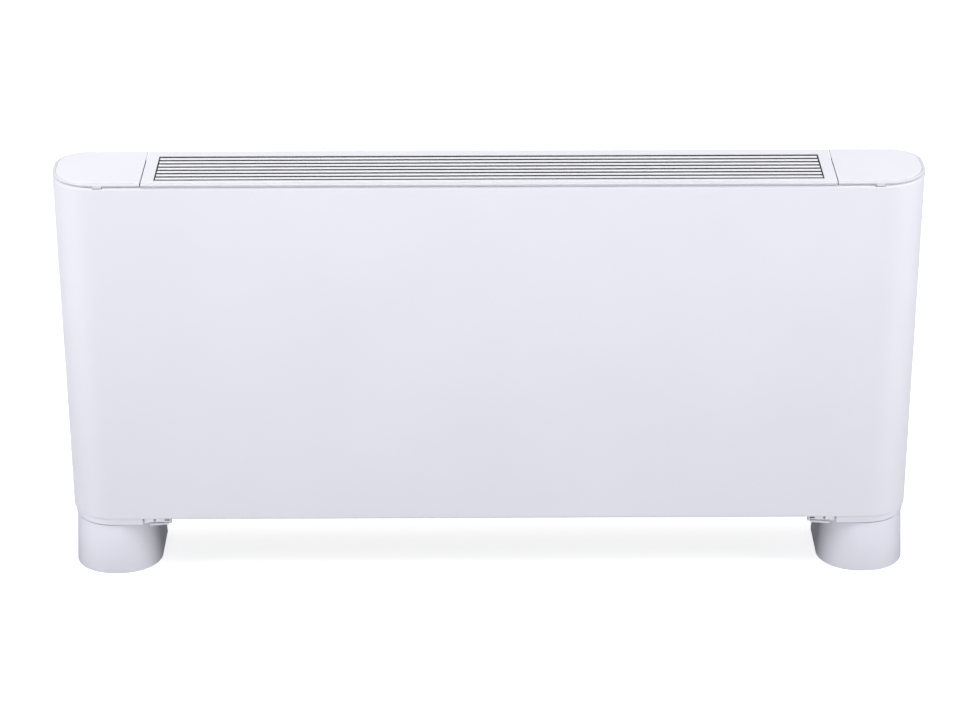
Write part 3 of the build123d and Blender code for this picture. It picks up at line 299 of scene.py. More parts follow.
class StageSettings(bpy.types.PropertyGroup):
    camera_place: FloatVectorProperty(name="Camera place", description="Where the camera stands, in metres",
                                      default=(-0.019, -4.333, 2.3727), subtype="XYZ")
    camera_pitch: FloatProperty(name="Camera pitch", description="How far the camera looks down",
                                default=0.43828, subtype="ANGLE")
    camera_yaw: FloatProperty(name="Camera yaw", description="How far the camera turns to the right",
                              default=0.0028331, subtype="ANGLE")
    camera_roll: FloatProperty(name="Camera roll", description="How far the camera leans",
                               default=-0.0024284, subtype="ANGLE")
    focal_pixels: FloatProperty(name="Focal length", description="Focal length in pixels of the picture",
                                default=2975.0)
    picture_width: IntProperty(name="Picture width", description="Width of the picture in pixels",
                               default=970)
    sensor_width: FloatProperty(name="Sensor width", description="Width of the sensor in millimetres",
                                default=36.0)
    floor_reach: size_field("Floor reach", "Radius of the round floor", 14.0)
    key_power: FloatProperty(name="Key lamp", description="Power of the large lamp above", default=24.0)
    side_power: FloatProperty(name="Side lamps", description="Power of the lamps at the ends", default=52.0)
    front_power: FloatProperty(name="Front lamp", description="Power of the lamp in front", default=127.0)
    rear_power: FloatProperty(name="Rear lamp", description="Power of the weak lamp behind", default=45.0)
    ambient: FloatProperty(name="Ambient", description="Light that comes from all around", default=0.38)


def settings():
    return bpy.context.scene.fan_coil_stage


def add_node(tree, kind, inputs=(), **traits):
    """A node with its traits and inputs set: an input is a value or another node's output."""
    node = tree.nodes.new(kind)
    for trait, value in traits.items():
        setattr(node, trait, value)
    for socket, value in dict(inputs).items():
        if isinstance(value, bpy.types.NodeSocket):
            tree.links.new(value, node.inputs[socket])
        else:
            node.inputs[socket].default_value = value
    return node


def spread(tree, value, from_low, from_high, to_low=0.0, to_high=1.0):
    """Maps one span of values onto another."""
    inputs = {"Value": value, "From Min": from_low, "From Max": from_high,
              "To Min": to_low, "To Max": to_high}
    return add_node(tree, "ShaderNodeMapRange", inputs).outputs["Result"]


class Finish:
    """A material under construction, with its shader and its coordinates."""

    def __init__(self, name, colour, roughness, metallic=0.0, shine=0.5):
        self.name = name
        self.colour = colour
        self.material = bpy.data.materials.new(name)
        self.material.use_nodes = True
        self.tree = self.material.node_tree
        self.inputs = self.tree.nodes["Principled BSDF"].inputs
        self.inputs["Base Color"].default_value = colour
        self.inputs["Roughness"].default_value = roughness
        self.inputs["Metallic"].default_value = metallic
        self.inputs["Specular IOR Level"].default_value = shine
        self.place = self.add("ShaderNodeTexCoord").outputs["Object"]

    def add(self, kind, inputs=(), **traits):
        return add_node(self.tree, kind, inputs, **traits)

    def feed(self, name, output):
        """Leads a node's output into one of the shader's inputs."""
        self.tree.links.new(output, self.inputs[name])

    def source(self, name):
        """The output that one of the shader's inputs takes now."""
        return self.inputs[name].links[0].from_socket

    def reckon(self, operation, *values):
        """Works out one value from numbers and outputs."""
        return self.add("ShaderNodeMath", enumerate(values), operation=operation).outputs[0]

    def split_place(self):
        return self.add("ShaderNodeSeparateXYZ", {0: self.place}).outputs

    def stretched(self, scale):
        """The object's coordinates with their own scale along each axis."""
        return self.add("ShaderNodeMapping", {"Vector": self.place, "Scale": scale}).outputs["Vector"]

    def noise(self, scale, detail=3.0, place=None):
        inputs = {"Vector": place or self.place, "Scale": scale, "Detail": detail}
        return self.add("ShaderNodeTexNoise", inputs).outputs["Fac"]

    def cells(self, scale):
        return self.add("ShaderNodeTexVoronoi", {"Vector": self.place, "Scale": scale}).outputs

    def waves(self, scale, direction):
        inputs = {"Vector": self.place, "Scale": scale}
        return self.add("ShaderNodeTexWave", inputs, bands_direction=direction).outputs["Fac"]

    def ramp(self, value, low, high):
        """Turns a texture's value, which lies mostly from 0.3 to 0.7, into one from low to high."""
        return spread(self.tree, value, 0.3, 0.7, low, high)

    def mix_colours(self, share, first, second, blend="MIX"):
        """Gives the shader a mix of two colours."""
        inputs = {"Factor": share, "A": first, "B": second}
        mix = self.add("ShaderNodeMix", inputs, data_type="RGBA", blend_type=blend)
        self.feed("Base Color", mix.outputs["Result"])

    def shade_recess(self, half, front, rear, height, shade):
        """Paints shade on what lies inside an opening, a little below its brim, as shade falls in a deep
        recess.
        """
        margin = 0.3 * mm
        split = self.split_place()
        mask = spread(self.tree, split["Z"], height - mm, height - margin, 1.0, 0.0)
        for axis, middle, reach in (("X", 0.0, half), ("Y", (front + rear) / 2, (rear - front) / 2)):
            within = self.reckon("COMPARE", split[axis], middle, reach + margin)
            mask = self.reckon("MULTIPLY", mask, within)
        self.mix_colours(mask, self.source("Base Color"), shade)

    def shade_by_height(self, stops, spared=None):
        """Paints shade in bands, darkening the colour: each stop is (height, share), and the share holds from
        there up.

        With spared, (place, half width), it leaves out what lies there along the unit, on both sides."""
        split = self.split_place()
        low = stops[0][0]
        high = stops[-1][0] + mm
        table = self.add("ShaderNodeValToRGB", {"Fac": spread(self.tree, split["Z"], low, high)})
        table.color_ramp.interpolation = "CONSTANT"
        marks = table.color_ramp.elements
        marks.remove(marks[1])
        for index, (height, share) in enumerate(stops):
            mark = marks[0] if index == 0 else marks.new((height - low) / (high - low))
            mark.color = (share, share, share, 1.0)
        where = 1.0
        if spared:
            near = self.reckon("COMPARE", self.reckon("ABSOLUTE", split["X"]), *spared)
            where = self.reckon("SUBTRACT", 1.0, near)
        self.mix_colours(where, self.source("Base Color"), table.outputs["Color"], "MULTIPLY")

    def vary_roughness(self, value, low, high):
        self.feed("Roughness", self.ramp(value, low, high))

    def vary_colour(self, value, darkest, lightest=1.0, tint=(1.0, 1.0, 1.0)):
        """Mixes the base colour with a darker one by a texture's value."""
        dark = [min(1.0, c * darkest * t) for c, t in zip(self.colour, tint)]
        light = [min(1.0, c * lightest) for c in self.colour[:3]]
        self.mix_colours(self.ramp(value, 0.0, 1.0), (*dark, 1.0), (*light, 1.0))

    def bump(self, value, height):
        """Raises the surface by a texture's value; height is in metres."""
        inputs = {"Height": value, "Distance": height, "Strength": 1.0}
        if self.inputs["Normal"].links:
            inputs["Normal"] = self.source("Normal")
        self.feed("Normal", self.add("ShaderNodeBump", inputs).outputs["Normal"])


def powder_coat(name, colour):
    """Baked paint with a slight orange peel."""
    finish = Finish(name, colour, 0.45, shine=0.15)
    finish.vary_colour(finish.noise(5.0, 2.0), 0.975)
    finish.vary_roughness(finish.noise(60.0), 0.38, 0.5)
    finish.bump(finish.noise(420.0, 2.0), 0.04 * mm)
    return finish


def casing_coat(name, colour):
    """The casing's paint, with painted shade at the panel's lower fold and rim but not round the ends."""
    kept = bpy.context.scene.fan_coil_shades.folds
    low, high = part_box("front_panel")
    fold = 1.2 * mm
    rim = 3.8 * mm
    end_x = (half_width + bpy.context.scene.fan_coil_cover.seam_x) / 2
    finish = powder_coat(name, colour)
    finish.shade_by_height([(low.z, kept), (low.z + fold, 1.0), (high.z - rim, kept)],
                           (end_x, half_width - end_x + mm))
    return finish


def outlet_recess():
    """The outlet's opening, its height and the colour of the painted shade inside it."""
    cover = bpy.context.scene.fan_coil_cover
    shade = bpy.context.scene.fan_coil_colours.recess
    return (cover.opening_half, cover.opening_front, cover.opening_rear, top_z, shade)


def grille_coat(name, colour):
    """The outlet bars' paint, with painted shade between the bars."""
    finish = powder_coat(name, colour)
    finish.shade_recess(*outlet_recess())
    return finish


def moulded_plastic(name, colour, roughness=0.5, shine=0.5):
    """Moulded plastic with a fine grain."""
    finish = Finish(name, colour, roughness, shine=shine)
    finish.vary_colour(finish.noise(9.0, 2.0), 0.975)
    finish.vary_roughness(finish.noise(90.0), roughness - 0.05, roughness + 0.07)
    finish.bump(finish.noise(1500.0, 2.0), 0.03 * mm)
    return finish


def cover_plastic(name, colour):
    """The top cover's plastic, with painted shade on its sloped margin, in the shadow gap under it and inside
    the outlet.
    """
    sizes = bpy.context.scene.fan_coil_cover
    kept = bpy.context.scene.fan_coil_shades
    lowest = top_z - cover_reach
    brink = top_z - 0.25 * mm
    under = top_z - sizes.edge - sizes.slope_drop - 0.15 * mm
    tab_reach = sizes.tab_half + 0.2 * mm
    finish = moulded_plastic(name, colour, 0.46, 0.2)
    finish.shade_by_height([(lowest, kept.margin), (brink, 1.0)])
    finish.shade_by_height([(lowest, kept.gap), (under, 1.0)], (sizes.tab_x, tab_reach))
    finish.shade_recess(*outlet_recess())
    return finish


def foot_plastic(name, colour):
    """Dull plastic of the feet, with painted shade on each foot below its collar and a dark painted shadow in
    the fine gap under the collar.
    """
    sizes = bpy.context.scene.fan_coil_base
    kept = bpy.context.scene.fan_coil_shades
    line_z = sizes.foot_height - sizes.foot_line - 0.1 * mm
    collar_z = sizes.foot_height - 0.02 * mm
    finish = moulded_plastic(name, colour, 0.6, 0.0)
    finish.shade_by_height([(0.0, kept.feet), (line_z, kept.foot_line), (collar_z, 1.0)])
    return finish


def galvanised_sheet(name, colour):
    """Zinc coat with its crystal flakes."""
    finish = Finish(name, colour, 0.42, 0.9)
    flakes = finish.cells(140.0)
    finish.vary_colour(flakes["Color"], 0.8, 1.06)
    finish.vary_roughness(flakes["Distance"], 0.34, 0.52)
    finish.bump(finish.noise(300.0), 0.02 * mm)
    return finish


def drawn_metal(name, colour, roughness, along=(4.0, 900.0, 900.0)):
    """Bare metal with fine lines from rolling or drawing."""
    finish = Finish(name, colour, roughness, 1.0)
    lines = finish.noise(1.0, 4.0, finish.stretched(along))
    finish.vary_colour(lines, 0.86, 1.04)
    finish.vary_roughness(lines, roughness - 0.08, roughness + 0.1)
    finish.bump(lines, 0.01 * mm)
    return finish


def copper_tube(name, colour):
    """Copper with darker, browner patches where it was heated."""
    finish = Finish(name, colour, 0.32, 1.0)
    finish.vary_colour(finish.noise(45.0, 5.0), 0.55, 1.05, (0.95, 0.85, 0.8))
    finish.vary_roughness(finish.noise(120.0), 0.22, 0.48)
    return finish


def cast_brass(name, colour):
    """Forged brass, matt in its skin."""
    finish = Finish(name, colour, 0.34, 1.0)
    finish.vary_colour(finish.noise(70.0, 4.0), 0.8, 1.04)
    finish.vary_roughness(finish.noise(200.0), 0.26, 0.44)
    finish.bump(finish.noise(700.0), 0.03 * mm)
    return finish


def soft_rubber(name, colour):
    """Dull rubber with a coarse skin."""
    finish = Finish(name, colour, 0.78)
    finish.vary_colour(finish.noise(80.0), 0.8, 1.3)
    finish.bump(finish.noise(900.0), 0.05 * mm)
    return finish


def woven_net(name, colour):
    """Woven filter net, with threads both ways."""
    finish = Finish(name, colour, 0.85)
    warp = finish.waves(220.0, "X")
    finish.vary_colour(warp, 0.55, 1.25)
    finish.bump(warp, 0.4 * mm)
    finish.bump(finish.waves(220.0, "Y"), 0.4 * mm)
    return finish


def make_finishes():
    """One material for each of the record's slots."""
    tones = bpy.context.scene.fan_coil_colours
    every_way = (300.0, 300.0, 300.0)
    along_fin = (900.0, 900.0, 12.0)
    along_can = (900.0, 900.0, 6.0)
    made = (
        casing_coat("casing_paint", tones.casing),
        cover_plastic("cover_plastic", tones.cover),
        grille_coat("grille_paint", tones.grille),
        foot_plastic("foot_plastic", tones.foot),
        galvanised_sheet("galvanised", tones.zinc),
        powder_coat("runner_paint", tones.runner),
        drawn_metal("screw_steel", tones.zinc, 0.3, every_way),
        moulded_plastic("filter_plastic", tones.box, 0.6),
        woven_net("filter_cloth", tones.cloth),
        drawn_metal("rotor_aluminium", tones.aluminium, 0.4),
        drawn_metal("shaft_steel", tones.zinc, 0.25),
        cast_brass("bush_bronze", tones.copper),
        soft_rubber("ring_rubber", tones.rubber),
        galvanised_sheet("motor_steel", tones.zinc),
        drawn_metal("fin_aluminium", tones.aluminium, 0.38, along_fin),
        copper_tube("copper", tones.copper),
        cast_brass("fitting_brass", tones.brass),
        moulded_plastic("pan_plastic", tones.black, 0.55),
        moulded_plastic("box_plastic", tones.box),
        moulded_plastic("strip_plastic", tones.foot, 0.4),
        drawn_metal("capacitor_can", tones.aluminium, 0.35, along_can),
        moulded_plastic("gland_plastic", tones.black, 0.4),
        moulded_plastic("knob_plastic", tones.knob, 0.35),
    )
    return {finish.name: finish.material for finish in made}


finishes = {}


class FAN_COIL_OT_paint_solids(bpy.types.Operator):
    """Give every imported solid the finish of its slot"""
    bl_idname = "fan_coil.paint_solids"
    bl_label = "Paint the solids"

    def execute(self, context):
        finishes.update(make_finishes())
        slots = {part["node"]: part["material_slot"] for part in frame["record"]["subparts"]}
        for name, solid in frame["nodes"].items():
            slot = slots[name]
            if slot not in finishes:
                raise RuntimeError(f"no finish for the slot {slot}")
            solid.data.materials.clear()
            solid.data.materials.append(finishes[slot])
        return {"FINISHED"}


def add_loft(form, rings, ends=True, loop=False):
    """Skins a row of closed rings of points, and closes both ends."""
    rows = [[form.verts.new(point) for point in ring] for ring in rings]
    count = len(rows[0])
    pairs = list(zip(rows, rows[1:]))
    if loop:
        pairs.append((rows[-1], rows[0]))
    for near, far in pairs:
        for index in range(count):
            after = (index + 1) % count
            form.faces.new((near[index], near[after], far[after], far[index]))
    if ends and not loop:
        form.faces.new(list(reversed(rows[0])))
        form.faces.new(rows[-1])


def add_block(form, low, high, edge=0.0, steps=2):
    """A block between two corners, with rounded edges."""
    made = bmesh.ops.create_cube(form, size=1.0)["verts"]
    for vert in made:
        for axis in range(3):
            middle = (low[axis] + high[axis]) / 2
            vert.co[axis] = middle + vert.co[axis] * abs(high[axis] - low[axis])
    if edge:
        edges = {line for vert in made for line in vert.link_edges}
        bmesh.ops.bevel(form, geom=list(edges), offset=edge, segments=steps, profile=0.5, affect="EDGES")


def around(axis, centre):
    """A function that puts a point given along and round an axis."""
    def placed(along, across, up):
        if axis == "X":
            return Vector((centre[0] + along, centre[1] + up, centre[2] + across))
        if axis == "Y":
            return Vector((centre[0] + across, centre[1] + along, centre[2] + up))
        return Vector((centre[0] + across, centre[1] + up, centre[2] + along))
    return placed


def add_turned(form, profile, axis, centre, steps=32, loop=False, flutes=0, flute_depth=0.0, flat=0.0):
    """A turned form: the profile lists distance along the axis and radius.

    With flat it is a hexagon as wide as that, where the profile is wider."""
    placed = around(axis, centre)
    rings = []
    for along, radius in profile:
        ring = []
        for step in range(steps):
            angle = 2 * math.pi * step / steps
            reach = radius
            if flutes:
                reach -= flute_depth * (0.5 - 0.5 * math.cos(flutes * angle))
            if flat:
                corner = (angle + math.pi / 6) % (math.pi / 3) - math.pi / 6
                reach = min(reach, flat / math.cos(corner))
            ring.append(placed(along, reach * math.cos(angle), reach * math.sin(angle)))
        rings.append(ring)
    add_loft(form, rings, loop=loop)


def add_prism(form, outline, x0, x1):
    """A form with one outline in Y and Z from x0 to x1."""
    add_loft(form, [[(x0, y, z) for y, z in outline], [(x1, y, z) for y, z in outline]])


def add_tube(form, points, radius, steps=14):
    """A round tube along a row of points."""
    points = [Vector(point) for point in points]
    rings = []
    side = None
    for index, point in enumerate(points):
        before = points[max(index - 1, 0)]
        after = points[min(index + 1, len(points) - 1)]
        ahead = (after - before).normalized()
        if side is None:
            side = ahead.orthogonal().normalized()
        side = (side - ahead * side.dot(ahead)).normalized()
        across = ahead.cross(side)
        ring = []
        for step in range(steps):
            angle = 2 * math.pi * step / steps
            ring.append(point + radius * (math.cos(angle) * side + math.sin(angle) * across))
        rings.append(ring)
    add_loft(form, rings)


def arc(centre, radius, start, end, steps):
    """Points of an arc in a plane, with angles in degrees."""
    points = []
    for step in range(steps + 1):
        angle = math.radians(start + (end - start) * step / steps)
        points.append((centre[0] + radius * math.cos(angle), centre[1] + radius * math.sin(angle)))
    return points


def mirrored(form):
    """The same form for the other end of the unit."""
    other = form.copy()
    for vert in other.verts:
        vert.co.x = -vert.co.x
    bmesh.ops.reverse_faces(other, faces=other.faces)
    return other


def tidy(form):
    """Joins doubled points, drops flat faces and turns every face outwards."""
    bmesh.ops.remove_doubles(form, verts=form.verts, dist=2e-6)
    bmesh.ops.dissolve_degenerate(form, edges=form.edges, dist=2e-6)
    bmesh.ops.recalc_face_normals(form, faces=form.faces)


def as_object(form, name):
    mesh = bpy.data.meshes.new(name)
    form.to_mesh(mesh)
    piece = bpy.data.objects.new(name, mesh)
    bpy.context.scene.collection.objects.link(piece)
    return piece


def cut(form, *cutters, keep=False):
    """Takes the cutters out of a form, or keeps only what they share with it."""
    tidy(form)
    body = as_object(form, "cut_body")
    tools = []
    for cutter in cutters:
        tidy(cutter)
        tool = as_object(cutter, "cut_tool")
        tools.append(tool)
        step = body.modifiers.new("cut", "BOOLEAN")
        step.operation = "INTERSECT" if keep else "DIFFERENCE"
        step.solver = "EXACT"
        step.object = tool
        cutter.free()
    made = body.evaluated_get(bpy.context.evaluated_depsgraph_get()).to_mesh()
    form.clear()
    form.from_mesh(made)
    for piece in [body] + tools:
        mesh = piece.data
        bpy.data.objects.remove(piece)
        bpy.data.meshes.remove(mesh)


def block_form(low, high):
    form = bmesh.new()
    add_block(form, low, high)
    return form


def put(name, form, slot, body, *nodes, sharpest=38.0):
    """Makes a piece of a form: smooth but for its sharp edges, finished, and riding on its body."""
    tidy(form)
    for face in form.faces:
        face.smooth = True
    for edge in form.edges:
        if len(edge.link_faces) == 2 and edge.calc_face_angle() > math.radians(sharpest):
            edge.smooth = False
    piece = as_object(form, name)
    form.free()
    piece.data.materials.append(finishes[slot])
    if nodes:
        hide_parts(*nodes)
    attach(piece, body)
    return piece


def put_pair(stem, form, slot, kind, bodies=("casing", "casing"), sharpest=38.0):
    """Makes a piece for the unit's left end and its mirror image for the right one."""
    for side, made, body in zip(("left", "right"), (form, mirrored(form)), bodies):
        put(f"{stem}_{side}", made, slot, body, f"{side}_{kind}", sharpest=sharpest)


def corner_run(centre, radius, start, end, steps):
    """Points of a corner seen from above, each with its inward direction."""
    run = []
    for step in range(steps + 1):
        angle = math.radians(start + (end - start) * step / steps)
        outward = Vector((math.cos(angle), math.sin(angle)))
        run.append((Vector(centre) + radius * outward, -outward))
    return run


def casing_corner(sizes, side, front):
    """One corner of the casing's outline, from the rear to the front on the left and back on the right."""
    radius = sizes.front_radius if front else sizes.rear_radius
    x = side * (half_width - radius)
    y = front_y + radius if front else wall_y - radius
    turns = {(-1, False): (90, 180), (-1, True): (180, 270), (1, True): (270, 360), (1, False): (0, 90)}
    return corner_run((x, y), radius, *turns[(side, front)], sizes.corner_steps)


def casing_outline():
    """The casing's whole outline seen from above."""
    sizes = bpy.context.scene.fan_coil_casing
    run = []
    for side, front in ((-1, False), (-1, True), (1, True), (1, False)):
        run += casing_corner(sizes, side, front)
    return run


def outline_ring(run, inset, z):
    """An outline seen from above, moved inwards and put at a height."""
    return [(*(point + inward * inset), z) for point, inward in run]


def add_sweep(form, run, section):
    """Carries a section of inset and height along an outline seen from above."""
    rings = []
    for point, inward in run:
        rings.append([(*(point + inward * inset), z) for inset, z in section])
    add_loft(form, rings)


class FAN_COIL_OT_make_panel(bpy.types.Operator):
    """Fold the casing panel with its rounded rim and finger notches"""
    bl_idname = "fan_coil.make_panel"
    bl_label = "Casing panel"

    def execute(self, context):
        sizes = context.scene.fan_coil_casing
        cover = context.scene.fan_coil_cover
        low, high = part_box("front_panel")
        rim_z = high.z
        sheet = sizes.sheet
        rim = sizes.rim_radius
        fold = sizes.fold_radius
        section = arc((fold, low.z + fold), fold, 270, 180, 5)
        section += arc((rim, rim_z - rim), rim, 180, 90, 8)
        lip = sizes.rim_width
        section += arc((lip - sheet / 2, rim_z - sheet / 2), sheet / 2, 90, -90, 6)
        section += arc((rim, rim_z - rim), rim - sheet, 90, 180, 6)
        section += arc((fold, low.z + fold), fold - sheet, 180, 270, 1)
        inner = sizes.bottom_return
        section += arc((inner - sheet / 2, low.z + sheet / 2), sheet / 2, 90, -90, 4)
        back_half = half_width - sizes.rear_radius - sizes.rear_return
        inward = Vector((0.0, -1.0))
        run = [(Vector((-back_half, wall_y)), inward)]
        run += casing_outline()
        run += [(Vector((back_half, wall_y)), inward)]
        form = bmesh.new()
        add_sweep(form, run, section)
        beyond = 10 * mm
        cutters = []
        for side in (-1, 1):
            x = side * cover.tab_x
            half = sizes.notch_half
            notch = bmesh.new()
            add_block(notch, (x - half, front_y - beyond, rim_z - sizes.notch_depth),
                      (x + half, front_y + lip + beyond / 5, rim_z + beyond))
            cutters.append(notch)
        hinge_z = top_z - cover.edge - cover.slope_drop - cover.knuckle_radius
        reach = half_width - 4 * sheet
        cutters.append(block_form((-reach, cover.hinge_y - sizes.swing_radius, hinge_z - sizes.swing_radius),
                                  (reach, wall_y + beyond, rim_z + beyond)))
        cut(form, *cutters)
        put("casing_panel", form, "casing_paint", "casing", "front_panel")
        return {"FINISHED"}


def cover_plate():
    """The whole top cover with its sloped margin, short of the wall."""
    sizes = bpy.context.scene.fan_coil_cover
    under = top_z - sizes.edge - sizes.slope_drop
    brow = under + sizes.edge
    turn = sizes.edge_turn
    slope = sizes.slope_width
    line = sizes.line_half
    steps = [
        (turn, under),
        (0.0, under + turn),
        (0.0, brow - turn),
        (0.4 * turn, brow + 0.1 * turn),
        (slope - line, top_z - line * sizes.slope_drop / slope),
        (slope, top_z - sizes.line_depth),
        (slope + line, top_z),
        (slope + 2 * line, top_z),
    ]
    run = casing_outline()
    form = bmesh.new()
    add_loft(form, [outline_ring(run, inset, z) for inset, z in steps])
    return form


def cover_part(x0, x1):
    """The part of the cover between two places along the unit."""
    sizes = bpy.context.scene.fan_coil_cover
    form = cover_plate()
    room = 5 * mm
    low = (x0, front_y - mm, top_z - cover_reach)
    high = (x1, wall_y - sizes.rear_gap, top_z + room)
    cut(form, block_form(low, high), keep=True)
    return form


def joined(form, other):
    """Adds another form to a form."""
    mesh = bpy.data.meshes.new("joined")
    other.to_mesh(mesh)
    other.free()
    form.from_mesh(mesh)
    bpy.data.meshes.remove(mesh)


def band_section(depth, wall, z0, z1):
    """Section of the upright wall under the cover, with its lower front edge cut off."""
    cut_off = 0.4 * mm
    back = depth + wall
    return [(depth, z0 + cut_off), (depth + cut_off, z0), (back, z0), (back, z1), (depth, z1)]


class FAN_COIL_OT_make_lids(bpy.types.Operator):
    """Mould both end lids with their finger tabs and hinge knuckles"""
    bl_idname = "fan_coil.make_lids"
    bl_label = "End lids"

    def execute(self, context):
        casing = context.scene.fan_coil_casing
        sizes = context.scene.fan_coil_cover
        under = top_z - sizes.edge - sizes.slope_drop
        groove_low = under - sizes.groove_height
        edge_x = sizes.seam_x + sizes.seam_gap / 2
        form = cover_part(-half_width - mm, -edge_x)
        hinge_room = 7.5 * mm
        seam_room = 0.5 * mm
        run = casing_corner(casing, -1, False) + casing_corner(casing, -1, True)
        run = [item for item in run if item[0].y < sizes.hinge_y - hinge_room]
        run.append((Vector((-edge_x - seam_room, front_y)), Vector((0.0, 1.0))))
        band = bmesh.new()
        band_low = groove_low + 0.3 * mm
        section = band_section(sizes.groove_depth, sizes.band_wall, band_low, under + bite)
        add_sweep(band, run, section)
        joined(form, band)
        tab_face = front_y + 0.1 * mm
        tab_back = front_y + sizes.groove_depth + sizes.band_wall / 2
        tab_top = under + 0.3 * mm
        tab_edge = 0.8 * mm
        add_block(form, (-sizes.tab_x - sizes.tab_half, tab_face, groove_low - sizes.tab_depth),
                  (-sizes.tab_x + sizes.tab_half, tab_back, tab_top), tab_edge, 3)
        hinge_z = under - sizes.knuckle_radius
        bore = sizes.pin_radius
        radius = sizes.knuckle_radius
        ends = (-sizes.knuckle_outer_x, -sizes.knuckle_inner_x)
        soft = 0.4 * mm
        profile = [(ends[0], bore), (ends[0], radius - soft), (ends[0] + soft, radius),
                   (ends[1] - soft, radius), (ends[1], radius - soft), (ends[1], bore)]
        add_turned(form, profile, "X", (0.0, sizes.hinge_y, hinge_z), 28, loop=True)
        add_block(form, (ends[0], sizes.hinge_y - radius, hinge_z + bore),
                  (ends[1], sizes.hinge_y - bore, under + bite))
        put_pair("end_lid", form, "cover_plastic", "lid", ("left_lid", "right_lid"), 14)
        return {"FINISHED"}


def add_frame(form, x0, x1, y0, y1, section):
    """A frame round a rectangle: its section lists distance outwards and height."""
    corners = ((x0, y0, -1, -1), (x1, y0, 1, -1), (x1, y1, 1, 1), (x0, y1, -1, 1))
    rings = []
    for x, y, right, back in corners:
        rings.append([(x + right * out, y + back * out, z) for out, z in section])
    add_loft(form, rings, loop=True)


class FAN_COIL_OT_make_frame(bpy.types.Operator):
    """Mould the cover's middle with the outlet and its collar"""
    bl_idname = "fan_coil.make_frame"
    bl_label = "Outlet frame"

    def execute(self, context):
        sizes = context.scene.fan_coil_cover
        collar_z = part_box("top_frame")[0].z
        under = top_z - sizes.edge - sizes.slope_drop
        edge_x = sizes.seam_x - sizes.seam_gap / 2
        reach = sizes.opening_half
        front = sizes.opening_front
        rear = sizes.opening_rear
        form = cover_part(-edge_x, edge_x)
        cut(form, block_form((-reach, front, collar_z - mm), (reach, rear, top_z + mm)))
        wall = sizes.band_wall
        root = under + bite
        ledge = top_z - sizes.ledge_drop
        inner = -sizes.ledge_width
        soft = 0.3 * mm
        section = [(0.0, root), (0.0, ledge), (inner, ledge), (inner, collar_z), (wall, collar_z),
                   (wall, root)]
        add_frame(form, -reach, reach, front, rear, section)
        band_y = front_y + sizes.groove_depth
        add_block(form, (-edge_x, band_y, under - sizes.groove_height), (edge_x, band_y + wall, root), soft)
        chassis_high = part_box("rear_chassis")[1]
        plate_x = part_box("right_side_plate")[0].x
        face_y = chassis_high.y - context.scene.fan_coil_casing.sheet
        add_block(form, (-plate_x, face_y - wall, chassis_high.z), (plate_x, face_y, root), soft)
        put("outlet_frame", form, "cover_plastic", "casing", "top_frame", sharpest=14)
        return {"FINISHED"}


class FAN_COIL_OT_make_grille(bpy.types.Operator):
    """Draw the seven outlet bars and their cross ribs"""
    bl_idname = "fan_coil.make_grille"
    bl_label = "Outlet grille"

    def execute(self, context):
        sizes = context.scene.fan_coil_grille
        cover = context.scene.fan_coil_cover
        reach = cover.opening_half - sizes.end_gap
        span = cover.opening_rear - cover.opening_front
        gap = (span - sizes.bars * sizes.bar_width) / (sizes.bars + 1)
        crown = sizes.bar_width / 2
        round_radius = sizes.crown_radius
        toe = sizes.bar_foot / 2
        shoulder = 2.4 * mm
        soft = 0.5 * mm
        half = arc((crown - round_radius, -round_radius), round_radius, 90, 0, 5)
        half += [(crown, -shoulder), (toe, -sizes.bar_height + soft), (toe - soft, -sizes.bar_height)]
        section = half + [(-y, z) for y, z in reversed(half)]
        form = bmesh.new()
        for index in range(sizes.bars):
            y = cover.opening_front + gap + crown + index * (gap + sizes.bar_width)
            add_prism(form, [(y + across, top_z + up) for across, up in section], -reach, reach)
        spacing = (2 * reach - sizes.rib_thickness) / (sizes.ribs - 1)
        rib_edge = 0.3 * mm
        for index in range(sizes.ribs):
            x = -reach + index * spacing
            add_block(form, (x, cover.opening_front + sizes.side_gap, top_z - sizes.bar_height),
                      (x + sizes.rib_thickness, cover.opening_rear - sizes.side_gap, top_z - sizes.rib_drop),
                      rib_edge)
        put("outlet_bars", form, "grille_paint", "casing", "outlet_grille")
        return {"FINISHED"}


def foot_outline(lean, sizes):
    """A foot's outline seen from above, moved inwards, from the wall round the front."""
    middle = -(half_width - sizes.foot_half)
    corner = sizes.foot_corner
    flat = sizes.foot_half - corner
    nose_y = front_y + corner
    left = Vector((-1.0, 0.0))
    run = [(Vector((middle - sizes.foot_half, wall_y)), -left)]
    run += corner_run((middle - flat, nose_y), corner, 180, 270, 28)
    run += corner_run((middle + flat, nose_y), corner, 270, 360, 28)
    run += [(Vector((middle + sizes.foot_half, wall_y)), left)]
    return [(point + inward * lean, inward) for point, inward in run]


def pipe_passage(sizes, z0, z1):
    """The passage for the pipes, with cut corners."""
    middle = -(half_width - sizes.foot_half)
    long = sizes.hole_length / 2
    deep = sizes.hole_depth / 2
    corner = sizes.hole_corner
    outline = []
    for right, back in ((1, 1), (-1, 1), (-1, -1), (1, -1)):
        near = (middle + right * long, back * (deep - corner))
        far = (middle + right * (long - corner), back * deep)
        outline += [near, far] if right * back > 0 else [far, near]
    form = bmesh.new()
    add_loft(form, [[(x, y, z0) for x, y in outline], [(x, y, z1) for x, y in outline]])
    return form


